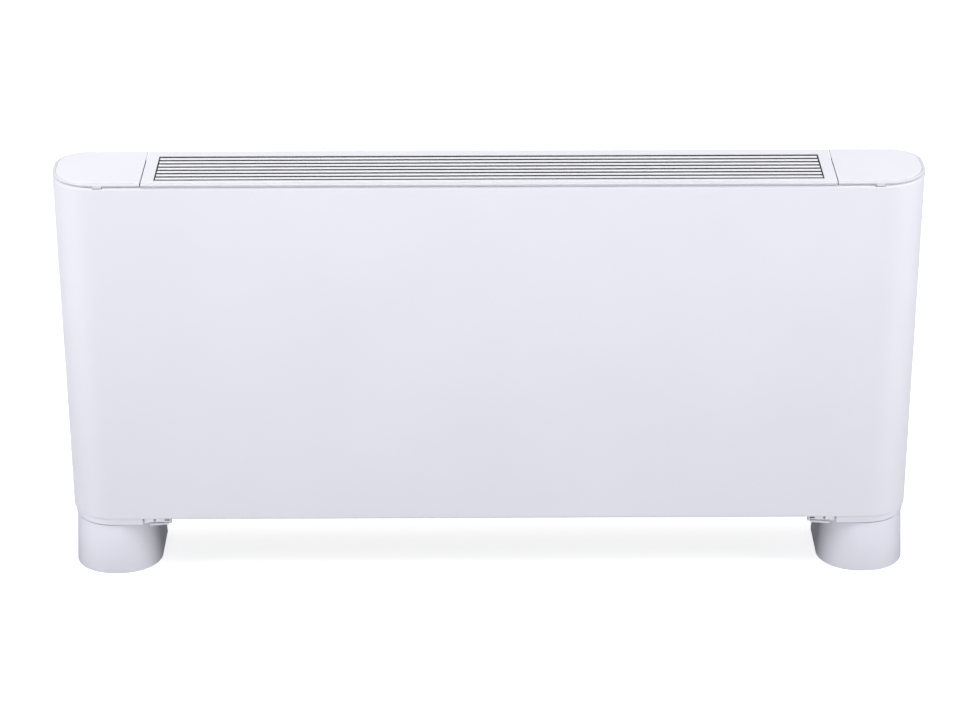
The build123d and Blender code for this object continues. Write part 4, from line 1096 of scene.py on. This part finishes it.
class FAN_COIL_OT_make_feet(bpy.types.Operator):
    """Mould both hollow feet, open to the floor and to the wall"""
    bl_idname = "fan_coil.make_feet"
    bl_label = "Feet"

    def execute(self, context):
        sizes = context.scene.fan_coil_base
        height = sizes.foot_height
        slope = sizes.flare / height
        wall = sizes.foot_wall
        under = height - sizes.foot_plate
        shoulder = height - sizes.foot_line
        soft = 0.6 * mm
        section = [
            (soft * (1 + slope), 0.0),
            (0.2 * soft, 0.25 * soft),
            (soft * slope, soft),
            (slope * (shoulder - soft), shoulder - soft),
            (slope * shoulder + 0.25 * soft, shoulder - 0.25 * soft),
            (slope * shoulder + soft, shoulder),
            (slope * height + 0.8 * wall, shoulder),
            (slope * height + 0.8 * wall, height),
            (slope * height + wall, height),
            (wall + slope * under, under),
            (wall + slope * soft, soft),
            (wall - 0.5 * soft, 0.0),
        ]
        form = bmesh.new()
        add_sweep(form, foot_outline(0.0, sizes), section)
        plate = bmesh.new()
        seat = wall - 0.4 * mm
        run = foot_outline(slope * height + seat, sizes)
        add_loft(plate, [outline_ring(run, 0.0, under), outline_ring(run, 0.0, height)])
        cut(plate, pipe_passage(sizes, under - mm, height + mm))
        joined(form, plate)
        put_pair("foot", form, "foot_plastic", "foot")
        return {"FINISHED"}


def collar_outline(inset, sizes, casing):
    """The tray's outline seen from above, from the rear corner round the front to its inner end."""
    run = casing_corner(casing, -1, False) + casing_corner(casing, -1, True)
    points = [point + inward * (sizes.collar_inset + inset) for point, inward in run]
    end_x = -sizes.collar_inner_x - inset
    points.append(Vector((end_x, points[-1].y)))
    points.append(Vector((end_x, points[0].y)))
    return points


class FAN_COIL_OT_make_collars(bpy.types.Operator):
    """Mould the shallow trays between the casing and the feet"""
    bl_idname = "fan_coil.make_collars"
    bl_label = "Collars"

    def execute(self, context):
        sizes = context.scene.fan_coil_base
        casing = context.scene.fan_coil_casing
        low = sizes.foot_height
        high = low + sizes.collar_height
        wall = sizes.collar_wall
        soft = 0.7 * mm
        steps = ((soft, low), (0.25 * soft, low + 0.25 * soft), (0.0, low + soft), (0.0, high), (wall, high),
                 (wall, low + wall))
        form = bmesh.new()
        rings = []
        for inset, z in steps:
            rings.append([(*point, z) for point in collar_outline(inset, sizes, casing)])
        add_loft(form, rings)
        cut(form, pipe_passage(sizes, low - mm, high))
        put_pair("collar", form, "foot_plastic", "collar")
        return {"FINISHED"}


def fan_blade(sizes):
    """Outline of one curved blade in Y and Z about the fan's middle."""
    start = Vector((sizes.inner_radius, 0.0))
    end = sizes.outer_radius * Vector((math.cos(sizes.sweep), math.sin(sizes.sweep)))
    chord = (end - start).normalized()
    across = Vector((-chord.y, chord.x))
    bend = (start + end) / 2 - 2 * sizes.bulge * across
    belly = []
    back = []
    steps = 8
    for step in range(steps + 1):
        share = step / steps
        point = (1 - share) ** 2 * start + 2 * share * (1 - share) * bend + share ** 2 * end
        ahead = (1 - share) * (bend - start) + share * (end - bend)
        side = Vector((-ahead.y, ahead.x)).normalized()
        thick = sizes.blade_sheet * (0.55 + 0.45 * math.sin(math.pi * min(share + 0.15, 1.0)))
        belly.append(point)
        back.append(point + side * thick)
    return belly + list(reversed(back))


class FAN_COIL_OT_make_rotor(bpy.types.Operator):
    """Build the cross-flow rotor with its curved blades, discs and rings"""
    bl_idname = "fan_coil.make_rotor"
    bl_label = "Fan rotor"

    def execute(self, context):
        sizes = context.scene.fan_coil_fan
        outline = fan_blade(sizes)
        form = bmesh.new()
        for index in range(sizes.blades):
            turn = Matrix.Rotation(2 * math.pi * index / sizes.blades, 2)
            section = []
            for point in outline:
                across, up = turn @ point
                section.append((across, sizes.middle_z + up))
            add_prism(form, section, -sizes.half_length, sizes.half_length)
        centre = (0.0, 0.0, sizes.middle_z)
        soft = 0.5 * mm
        flange = 6 * mm
        dish = 8 * mm
        hub_fillet = 3 * mm
        for side in (-1, 1):
            inner = side * sizes.half_length
            outer = side * (sizes.half_length + sizes.disc)
            end = side * (sizes.half_length + sizes.hub_length)
            profile = [
                (inner, sizes.shaft_radius),
                (inner, sizes.outer_radius - soft),
                (inner + side * soft, sizes.outer_radius),
                (outer - side * soft, sizes.outer_radius),
                (outer, sizes.outer_radius - soft),
                (outer, sizes.outer_radius - flange),
                (outer - side * mm, sizes.outer_radius - dish),
                (outer - side * mm, sizes.hub_radius + hub_fillet),
                (outer, sizes.hub_radius),
                (end - side * soft, sizes.hub_radius),
                (end, sizes.hub_radius - soft),
                (end, sizes.shaft_radius),
            ]
            add_turned(form, profile, "X", centre, 64, loop=True)
        spacing = 2 * sizes.half_length / (sizes.rings + 1)
        thick = 0.6 * mm
        outer = sizes.outer_radius - 0.6 * mm
        inner = sizes.inner_radius - 3 * mm
        for index in range(sizes.rings):
            x = -sizes.half_length + (index + 1) * spacing
            profile = [(x - thick, inner), (x - thick, outer), (x + thick, outer), (x + thick, inner)]
            add_turned(form, profile, "X", centre, 56, loop=True)
        put("cross_flow_rotor", form, "rotor_aluminium", "fan", "fan_rotor")
        return {"FINISHED"}


def coil_place(x, across, up):
    """Puts a point of the coil's own frame into the unit."""
    sizes = bpy.context.scene.fan_coil_coil
    turn = Matrix.Rotation(sizes.tilt, 2)
    y, z = turn @ Vector((across, up))
    return Vector((x, y, sizes.middle_z + z))


def tube_heights(sizes):
    """Where the tubes of a row pass the fins, about the coil's middle."""
    return [(index - (sizes.tubes - 1) / 2) * sizes.tube_pitch for index in range(sizes.tubes)]


class FAN_COIL_OT_make_coil(bpy.types.Operator):
    """Stack the fins on their tubes and solder bends and headers to them"""
    bl_idname = "fan_coil.make_coil"
    bl_label = "Coil"

    def execute(self, context):
        sizes = context.scene.fan_coil_coil
        form = bmesh.new()
        half = sizes.thickness / 2
        reach = sizes.height / 2
        count = int(2 * sizes.half_length / sizes.fin_pitch)
        start = -(count - 1) * sizes.fin_pitch / 2
        waves = 12
        wave_height = 0.35 * mm
        thick = sizes.fin_sheet / 2
        corners = ((-thick, -reach), (thick, -reach), (thick, reach), (-thick, reach))
        for index in range(count):
            x = start + index * sizes.fin_pitch
            rings = []
            for step in range(waves + 1):
                across = -half + 2 * half * step / waves
                bow = wave_height * (-1) ** step
                rings.append([coil_place(x + bow + out, across, up) for out, up in corners])
            add_loft(form, rings)
        put("fin_pack", form, "fin_aluminium", "casing", "coil_fins")
        tubes = bmesh.new()
        gap = sizes.row_gap / 2
        for height in tube_heights(sizes):
            for side in (-1, 1):
                ends = [coil_place(x, side * gap, height) for x in (-sizes.half_length, sizes.half_length)]
                add_tube(tubes, ends, 0.98 * sizes.tube_radius)
        put("coil_tubes", tubes, "copper", "casing")
        bends = bmesh.new()
        x = sizes.half_length
        face = x + sizes.plate
        bend_x = face + 3 * mm
        solder = 0.35 * mm
        for height in tube_heights(sizes):
            route = [(x, -gap)] + arc((bend_x, 0.0), gap, -90, 90, 12) + [(x, gap)]
            add_tube(bends, [coil_place(out, across, height) for out, across in route], sizes.tube_radius, 18)
            for side in (-1, 1):
                ring = [coil_place(face + shift * mm, side * gap, height) for shift in (0.0, 0.4, 1.6, 2.0)]
                add_tube(bends, ring, sizes.tube_radius + solder, 18)
        put("tube_bends", bends, "copper", "casing", "return_bends")
        self.make_header("supply", 1, -sizes.connection_offset, sizes)
        self.make_header("return", -1, sizes.connection_offset, sizes)
        return {"FINISHED"}

    def make_header(self, name, row, offset, sizes):
        """An upright tube with closed ends, with a stub for each tube of its row and the connection."""
        form = bmesh.new()
        across = row * sizes.row_gap / 2
        plate_x = -sizes.half_length - sizes.plate
        x = plate_x - sizes.header_gap
        heights = tube_heights(sizes)
        low = heights[0] - sizes.header_overrun
        high = heights[-1] + sizes.header_overrun
        radius = sizes.header_radius
        soft = 2.5 * mm
        collar = radius + 1.2 * mm
        collar_radius = sizes.tube_radius + 0.9 * mm
        shape = ((low, 0.55), (low + 0.3 * soft, 0.85), (low + soft, 1.0), (high - soft, 1.0),
                 (high - 0.3 * soft, 0.85), (high, 0.55))
        rings = []
        for height, share in shape:
            circle = arc((x, across), share * radius, 0, 345, 23)
            rings.append([coil_place(out, side, height) for out, side in circle])
        add_loft(form, rings)
        for height in heights:
            for end_x, stub_radius in ((plate_x, sizes.tube_radius), (x + collar, collar_radius)):
                ends = [coil_place(x, across, height), coil_place(end_x, across, height)]
                add_tube(form, ends, stub_radius, 18)
        place = coil_place(0.0, across, offset)
        pipe = [(x, place.y, place.z), (-sizes.connection_inner, place.y, place.z)]
        add_tube(form, pipe, radius, 24)
        put(name + "_manifold", form, "copper", "casing", name + "_header")
        self.make_connection(name, place, sizes)

    def make_connection(self, name, place, sizes):
        """A hexagon with chamfered corners and a cut thread."""
        inner = -sizes.connection_inner
        outer = -sizes.connection_outer
        flat = sizes.hexagon / 2
        chamfer = 1.2 * mm
        pitch = 1.8 * mm
        core = sizes.thread_radius
        root = core + pitch / 2
        mouth = root + 0.4 * mm
        bore = core - 3 * mm
        wide = 2 * flat
        profile = [(inner, flat), (inner - chamfer, wide), (outer + chamfer, wide), (outer, flat),
                   (outer, mouth)]
        x = outer + 0.8 * mm
        while x < outer + sizes.thread_depth:
            profile += [(x, core), (x + pitch / 2, root)]
            x += pitch
        profile += [(x, core), (x, bore)]
        form = bmesh.new()
        add_turned(form, profile, "X", (0.0, place.y, place.z), 48, flat=flat)
        put(name + "_union", form, "fitting_brass", "casing", name + "_connection")


class FAN_COIL_OT_make_runners(bpy.types.Operator):
    """Fold the filter runners with their front plates and bars"""
    bl_idname = "fan_coil.make_runners"
    bl_label = "Filter runners"

    def execute(self, context):
        sizes = context.scene.fan_coil_base
        low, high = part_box("left_filter_runner")
        sheet = sizes.runner_sheet
        web = -sizes.runner_web_x
        outer = web - sheet
        collar_x = -sizes.collar_inner_x
        plate_x = -sizes.runner_plate_x
        y0 = low.y + sizes.runner_bar_depth - sheet
        y1 = high.y
        lip_z = high.z - sizes.runner_drop
        plate_low = high.z - sizes.runner_plate_drop
        soft = 0.3 * mm
        form = bmesh.new()
        add_block(form, (collar_x, y0, plate_low), (plate_x, y0 + sheet, lip_z + sheet))
        cut(form, self.hole(collar_x, y0, lip_z, sizes), self.slot(collar_x, y0, lip_z, sizes))
        back_y = y0 + sizes.runner_pocket
        add_block(form, (outer, back_y, plate_low), (plate_x, back_y + sheet, lip_z + sheet), soft)
        add_block(form, (plate_x - sheet, y0, plate_low), (plate_x, back_y + sheet, lip_z + sheet), soft)
        add_block(form, (outer, y0, plate_low), (plate_x, back_y + sheet, plate_low + sheet), soft)
        add_block(form, (collar_x, y0, lip_z), (web, y0 + sheet, high.z), soft)
        add_block(form, (outer, y0, lip_z), (web, y1, high.z), soft)
        add_block(form, (collar_x + mm, y0, high.z - sheet), (web, y1, high.z), soft)
        add_block(form, (outer, y0, lip_z), (web + sizes.runner_lip, y1, lip_z + sheet), soft)
        add_block(form, (outer, y1 - sheet, lip_z), (web, y1, high.z), soft)
        self.add_bar(form, collar_x, plate_x, y0, plate_low, sizes)
        put_pair("runner", form, "runner_paint", "filter_runner")
        return {"FINISHED"}

    def hole(self, collar_x, y0, lip_z, sizes):
        """The round hole in the front plate, as a cutter."""
        x = collar_x + sizes.runner_hole_x
        z = lip_z - sizes.runner_hole + 0.6 * mm
        circle = arc((0, 0), sizes.runner_hole, 0, 345, 23)
        form = bmesh.new()
        ends = (y0 - mm, y0 + 2 * sizes.runner_sheet)
        add_loft(form, [[(x + across, y, z + up) for across, up in circle] for y in ends])
        return form

    def slot(self, collar_x, y0, lip_z, sizes):
        """The short slot beside the hole, as a cutter."""
        x = collar_x + sizes.runner_slot_x
        half = 4 * mm
        drop = 0.4 * mm
        depth = 3.2 * mm
        return block_form((x - half, y0 - mm, lip_z - depth),
                          (x + half, y0 + 2 * sizes.runner_sheet, lip_z - drop))

    def add_bar(self, form, collar_x, plate_x, y0, plate_low, sizes):
        """The round bar in front of the plate, which runs a little askew, and the ledge that carries it."""
        outer_gap = 9.8 * mm
        inner_gap = 4.1 * mm
        z = plate_low + 0.6 * mm
        half = sizes.runner_sheet / 2
        back = y0 + half
        circle = arc((0, 0), sizes.runner_bar / 2, 0, 337.5, 15)
        ends = ((collar_x + outer_gap, y0 - sizes.bar_left), (plate_x - inner_gap, y0 - sizes.bar_right))
        add_loft(form, [[(x, y + across, z + up) for across, up in circle] for x, y in ends])
        add_loft(form, [[(x, y, z - half), (x, back, z - half), (x, back, z + half), (x, y, z + half)]
                        for x, y in ends])


class FAN_COIL_OT_lay_cloth(bpy.types.Operator):
    """Stretch the filter cloth over its frame"""
    bl_idname = "fan_coil.lay_cloth"
    bl_label = "Filter cloth"

    def execute(self, context):
        sizes = context.scene.fan_coil_filter
        low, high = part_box("filter_mesh")
        middle = (low + high) / 2
        long = sizes.cloth_width
        deep = sizes.cloth_depth
        columns = 160
        rows = 10
        form = bmesh.new()
        grid = []
        for column in range(columns + 1):
            share = column / columns
            line = []
            for row in range(rows + 1):
                across = row / rows
                sag = abs(math.sin(math.pi * share * sizes.fields)) * math.sin(math.pi * across)
                line.append(form.verts.new((middle.x + (share - 0.5) * long, middle.y + (across - 0.5) * deep,
                                            high.z - sizes.cloth_sheet - sizes.cloth_sag * sag)))
            grid.append(line)
        for near, far in zip(grid, grid[1:]):
            for row in range(rows):
                form.faces.new((near[row], far[row], far[row + 1], near[row + 1]))
        bmesh.ops.solidify(form, geom=form.faces[:], thickness=sizes.cloth_sheet)
        cloth = put("filter_cloth_sheet", form, "filter_cloth", "filter", "filter_mesh")
        return {"FINISHED"}


# Half the thickness of the dials' raised numbers.
number_rise = 0.1 * mm


def add_number(words, size, place, name):
    """A raised number on the control plate."""
    data = bpy.data.curves.new(name, "FONT")
    data.body = words
    data.size = size
    data.align_x = "CENTER"
    data.align_y = "CENTER"
    data.extrude = number_rise
    text = bpy.data.objects.new(name, data)
    bpy.context.scene.collection.objects.link(text)
    made = bpy.data.meshes.new_from_object(text.evaluated_get(bpy.context.evaluated_depsgraph_get()))
    bpy.data.objects.remove(text)
    bpy.data.curves.remove(data)
    form = bmesh.new()
    form.from_mesh(made)
    bpy.data.meshes.remove(made)
    bmesh.ops.translate(form, verts=form.verts, vec=Vector(place))
    return form


class FAN_COIL_OT_make_controls(bpy.types.Operator):
    """Turn both knobs and print the dials on the control plate"""
    bl_idname = "fan_coil.make_controls"
    bl_label = "Controls"

    def execute(self, context):
        sizes = context.scene.fan_coil_controls
        dials = (("speed_knob", (0, 45, 90, 135), ("0", "1", "2", "3"), 45),
                 ("thermostat_knob", (0, 90, 180, 270), ("1", "2", "3", "4"), 30))
        marks = bmesh.new()
        for node, turns, words, step in dials:
            low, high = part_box(node)
            x = (low.x + high.x) / 2
            self.make_knob(node, x, sizes)
            for turn, word in zip(turns, words):
                angle = math.radians(turn)
                reach = sizes.number_radius
                place = (x - reach * math.sin(angle), -reach * math.cos(angle), sizes.plate_z + number_rise)
                joined(marks, add_number(word, sizes.number_height, place, node + "_number"))
            for turn in range(0, turns[-1] + 1, step):
                self.add_mark(marks, x, math.radians(turn), sizes)
        put("dial_marks", marks, "gland_plastic", "casing")
        return {"FINISHED"}

    def add_mark(self, form, x, angle, sizes):
        """A short raised line that points to the knob's middle."""
        ahead = Vector((-math.sin(angle), -math.cos(angle)))
        side = Vector((-ahead.y, ahead.x))
        length = 1.6 * mm
        half = 0.3 * mm
        rise = 0.2 * mm
        rings = []
        for reach in (sizes.mark_radius, sizes.mark_radius + length):
            ring = []
            for across, up in ((-1, 0), (1, 0), (1, 1), (-1, 1)):
                point = ahead * reach + side * (half * across)
                ring.append((x + point.x, point.y, sizes.plate_z + rise * up))
            rings.append(ring)
        add_loft(form, rings)

    def make_knob(self, node, x, sizes):
        """A fluted grip with its raised pointer, on a skirt and a spindle."""
        base = sizes.plate_z + sizes.lift
        skirt = base + sizes.skirt_height
        crown = base + sizes.knob_height
        centre = (x, 0.0, 0.0)
        spindle = sizes.spindle_radius
        radius = sizes.knob_radius
        grip = sizes.grip_radius
        soft = 0.6 * mm
        taper = 0.4 * mm
        dish = 0.3 * mm
        form = bmesh.new()
        profile = [(sizes.plate_z - sizes.spindle_length, spindle), (base + mm, spindle)]
        add_turned(form, profile, "Z", centre, 32)
        profile = [(base, spindle + mm), (base, radius - soft), (base + soft, radius), (skirt - soft, radius),
                   (skirt, radius - soft), (skirt, grip + soft)]
        add_turned(form, profile, "Z", centre, 72)
        profile = [(skirt - mm, grip), (crown - 1.5 * soft, grip - taper),
                   (crown - 0.4 * soft, grip - 1.1 * soft), (crown, grip - 2.4 * soft),
                   (crown - dish, grip - 5 * soft)]
        add_turned(form, profile, "Z", centre, 144, flutes=sizes.flutes, flute_depth=sizes.flute_depth)
        half = 0.8 * mm
        edge = 0.3 * mm
        pointer_end = -3 * mm
        pointer_top = crown + sizes.pointer_height
        add_block(form, (x - half, -grip + mm, crown - mm), (x + half, pointer_end, pointer_top), edge)
        put(node + "_fluted", form, "knob_plastic", node, node)


class FAN_COIL_OT_drive_screws(bpy.types.Operator):
    """Drive the hexagon screws of the feet and the casing"""
    bl_idname = "fan_coil.drive_screws"
    bl_label = "Screws"

    def execute(self, context):
        sizes = context.scene.fan_coil_controls
        self.make("foot_screw_heads", "foot_screws", "Z", -1, sizes)
        self.make("casing_screw_heads", "panel_screws", "Y", -1, sizes)
        return {"FINISHED"}

    def make(self, name, node, axis, way, sizes):
        """One hexagon head with its washer in place of each of the node's heads."""
        head = sizes.screw_radius
        tall = way * sizes.screw_height
        flat = 0.72 * head
        hollow = 0.1 * head
        base = -tall / 2
        washer = [(base, hollow), (base, head), (base + 0.25 * tall, head), (base + 0.4 * tall, 1.16 * flat),
                  (base + 0.4 * tall, hollow)]
        nut = [(base + 0.3 * tall, 2 * flat), (base + 0.85 * tall, 2 * flat), (base + tall, flat),
               (base + tall, 0.55 * flat), (base + 0.8 * tall, 0.45 * flat)]
        form = bmesh.new()
        for centre in separate_middles(node):
            add_turned(form, washer, axis, centre, 36)
            add_turned(form, nut, axis, centre, 36, flat=flat)
        put(name, form, "screw_steel", "casing", node)


def separate_middles(node):
    """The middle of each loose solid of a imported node."""
    form = bmesh.new()
    form.from_mesh(frame["nodes"][node].data)
    bmesh.ops.remove_doubles(form, verts=form.verts, dist=1e-6)
    left = set(form.verts)
    middles = []
    while left:
        island = {left.pop()}
        edge = list(island)
        while edge:
            vert = edge.pop()
            for line in vert.link_edges:
                other = line.other_vert(vert)
                if other in left:
                    left.discard(other)
                    island.add(other)
                    edge.append(other)
        low = Vector([min(vert.co[axis] for vert in island) for axis in range(3)])
        high = Vector([max(vert.co[axis] for vert in island) for axis in range(3)])
        middles.append((low + high) / 2)
    form.free()
    return sorted(middles, key=lambda middle: (middle.x, middle.z, middle.y))


def camera_matrix():
    """Where the camera stands and how it is turned."""
    stage = settings()
    pitch = stage.camera_pitch
    yaw = stage.camera_yaw
    roll = stage.camera_roll
    ahead = Vector((math.sin(yaw) * math.cos(pitch), math.cos(yaw) * math.cos(pitch), -math.sin(pitch)))
    level = Vector((math.cos(yaw), -math.sin(yaw), 0.0))
    above = level.cross(ahead)
    right = math.cos(roll) * level + math.sin(roll) * above
    up = math.cos(roll) * above - math.sin(roll) * level
    turn = Matrix((right, up, -ahead)).transposed().to_4x4()
    return Matrix.Translation(stage.camera_place) @ turn


def place_camera():
    """The camera with the focal length and place that fit the photograph."""
    stage = settings()
    data = bpy.data.cameras.new("photo_camera")
    data.sensor_fit = "HORIZONTAL"
    data.sensor_width = stage.sensor_width
    data.lens = stage.focal_pixels / stage.picture_width * stage.sensor_width
    data.clip_end = 60.0
    camera = bpy.data.objects.new("photo_camera", data)
    bpy.context.scene.collection.objects.link(camera)
    camera.matrix_world = camera_matrix()
    bpy.context.scene.camera = camera


def place_lamp(name, place, aim, width, height, power):
    """A soft rectangular lamp that faces a point."""
    data = bpy.data.lights.new(name, "AREA")
    data.shape = "RECTANGLE"
    data.size = width
    data.size_y = height
    data.energy = power
    lamp = bpy.data.objects.new(name, data)
    bpy.context.scene.collection.objects.link(lamp)
    lamp.location = place
    lamp.rotation_euler = (Vector(aim) - Vector(place)).to_track_quat("-Z", "Y").to_euler()


def seen_directly(tree):
    """1 for rays from the camera or off a shiny or clear surface, and 0 for the rest."""
    path = add_node(tree, "ShaderNodeLightPath").outputs
    total = path["Is Camera Ray"]
    for ray in ("Is Glossy Ray", "Is Transmission Ray"):
        total = add_node(tree, "ShaderNodeMath", {0: total, 1: path[ray]}, operation="MAXIMUM").outputs[0]
    return total


def show(tree, output, seen, unseen):
    """Ends a tree with one shader for what is seen directly and another for the light it gives."""
    inputs = {0: seen_directly(tree), 1: unseen.outputs[0], 2: seen.outputs[0]}
    choose = add_node(tree, "ShaderNodeMixShader", inputs)
    add_node(tree, output, {0: choose.outputs[0]})


def floor_finish():
    """White to the eye, with the object's shadow, and a darker one for the light it gives back."""
    pale = (0.8, 0.8, 0.82, 1.0)
    dark = (0.08, 0.08, 0.085, 1.0)
    own_light = 0.7
    material = bpy.data.materials.new("floor_white")
    material.use_nodes = True
    tree = material.node_tree
    tree.nodes.clear()
    white = add_node(tree, "ShaderNodeBsdfDiffuse", {"Color": pale})
    glow = add_node(tree, "ShaderNodeEmission", {"Strength": own_light})
    both = add_node(tree, "ShaderNodeAddShader", {0: white.outputs[0], 1: glow.outputs[0]})
    dull = add_node(tree, "ShaderNodeBsdfDiffuse", {"Color": dark})
    show(tree, "ShaderNodeOutputMaterial", both, dull)
    return material


def dim_below(tree, strength):
    """Full strength from above and next to none from the floor's height."""
    low = 0.1
    high = 0.6
    least = 0.05
    direction = add_node(tree, "ShaderNodeTexCoord").outputs["Generated"]
    height = add_node(tree, "ShaderNodeSeparateXYZ", {0: direction}).outputs["Z"]
    return spread(tree, height, low, high, least * strength, strength)


def light_world():
    """White to the eye and a soft even light for the object."""
    white = (1.0, 1.0, 1.0, 1.0)
    world = bpy.data.worlds.new("white_room")
    bpy.context.scene.world = world
    world.use_nodes = True
    tree = world.node_tree
    tree.nodes.clear()
    dimmed = dim_below(tree, settings().ambient)
    seen = add_node(tree, "ShaderNodeBackground", {"Strength": 1.0, "Color": white})
    unseen = add_node(tree, "ShaderNodeBackground", {"Strength": dimmed, "Color": white})
    show(tree, "ShaderNodeOutputWorld", seen, unseen)


class FAN_COIL_OT_lay_stage(bpy.types.Operator):
    """Lay the pale floor and set the lamps and the camera"""
    bl_idname = "fan_coil.lay_stage"
    bl_label = "Lay the stage"

    def execute(self, context):
        stage = settings()
        mesh = bpy.data.meshes.new("floor")
        form = bmesh.new()
        bmesh.ops.create_circle(form, cap_ends=True, radius=stage.floor_reach, segments=96)
        form.to_mesh(mesh)
        form.free()
        floor = bpy.data.objects.new("floor", mesh)
        context.scene.collection.objects.link(floor)
        floor.data.materials.append(floor_finish())
        place_lamp("key_above", (-0.3, -0.5, 3.3), (0.0, 0.0, 0.4), 3.0, 1.6, stage.key_power)
        place_lamp("left_side", (-3.0, -0.6, 1.9), (-0.3, 0.0, 0.5), 1.0, 2.0, stage.side_power)
        place_lamp("right_side", (3.0, -0.6, 1.9), (0.3, 0.0, 0.5), 1.0, 2.0, stage.side_power)
        place_lamp("front_soft", (0.0, -4.4, 0.55), (0.0, 0.0, 0.4), 3.0, 1.0, stage.front_power)
        place_lamp("rear_soft", (0.0, 4.0, 0.35), (0.0, 0.0, 0.35), 3.0, 0.6, stage.rear_power)
        place_camera()
        light_world()
        context.scene.view_settings.view_transform = "Standard"
        return {"FINISHED"}


class FAN_COIL_PT_sidebar(bpy.types.Panel):
    """The unit's steps"""
    bl_idname = "FAN_COIL_PT_sidebar"
    bl_label = "Fan coil unit"
    bl_space_type = "VIEW_3D"
    bl_region_type = "UI"
    bl_category = "Fan coil unit"

    def draw(self, context):
        layout = self.layout
        for step in steps:
            layout.operator(step.bl_idname)


steps = (
    FAN_COIL_OT_paint_solids,
    FAN_COIL_OT_make_panel,
    FAN_COIL_OT_make_lids,
    FAN_COIL_OT_make_frame,
    FAN_COIL_OT_make_grille,
    FAN_COIL_OT_make_collars,
    FAN_COIL_OT_make_feet,
    FAN_COIL_OT_make_runners,
    FAN_COIL_OT_lay_cloth,
    FAN_COIL_OT_make_rotor,
    FAN_COIL_OT_make_coil,
    FAN_COIL_OT_make_controls,
    FAN_COIL_OT_drive_screws,
    FAN_COIL_OT_lay_stage,
)
groups = {
    "fan_coil_colours": FinishColours,
    "fan_coil_shades": ShadeShares,
    "fan_coil_casing": CasingSizes,
    "fan_coil_cover": CoverSizes,
    "fan_coil_grille": GrilleSizes,
    "fan_coil_base": BaseSizes,
    "fan_coil_filter": FilterSizes,
    "fan_coil_controls": ControlSizes,
    "fan_coil_fan": FanSizes,
    "fan_coil_coil": CoilSizes,
    "fan_coil_stage": StageSettings,
}


def register():
    for made in (*groups.values(), *steps, FAN_COIL_PT_sidebar):
        bpy.utils.register_class(made)
    for name, group in groups.items():
        setattr(bpy.types.Scene, name, PointerProperty(type=group))


def unregister():
    for name in groups:
        delattr(bpy.types.Scene, name)
    for made in reversed((*groups.values(), *steps, FAN_COIL_PT_sidebar)):
        bpy.utils.unregister_class(made)


def main():
    register()
    bpy.ops.fan_coil.paint_solids()
    bpy.ops.fan_coil.make_panel()
    bpy.ops.fan_coil.make_lids()
    bpy.ops.fan_coil.make_frame()
    bpy.ops.fan_coil.make_grille()
    bpy.ops.fan_coil.make_collars()
    bpy.ops.fan_coil.make_feet()
    bpy.ops.fan_coil.make_runners()
    bpy.ops.fan_coil.lay_cloth()
    bpy.ops.fan_coil.make_rotor()
    bpy.ops.fan_coil.make_coil()
    bpy.ops.fan_coil.make_controls()
    bpy.ops.fan_coil.drive_screws()
    bpy.ops.fan_coil.lay_stage()


if __name__ == "__main__":
    main()
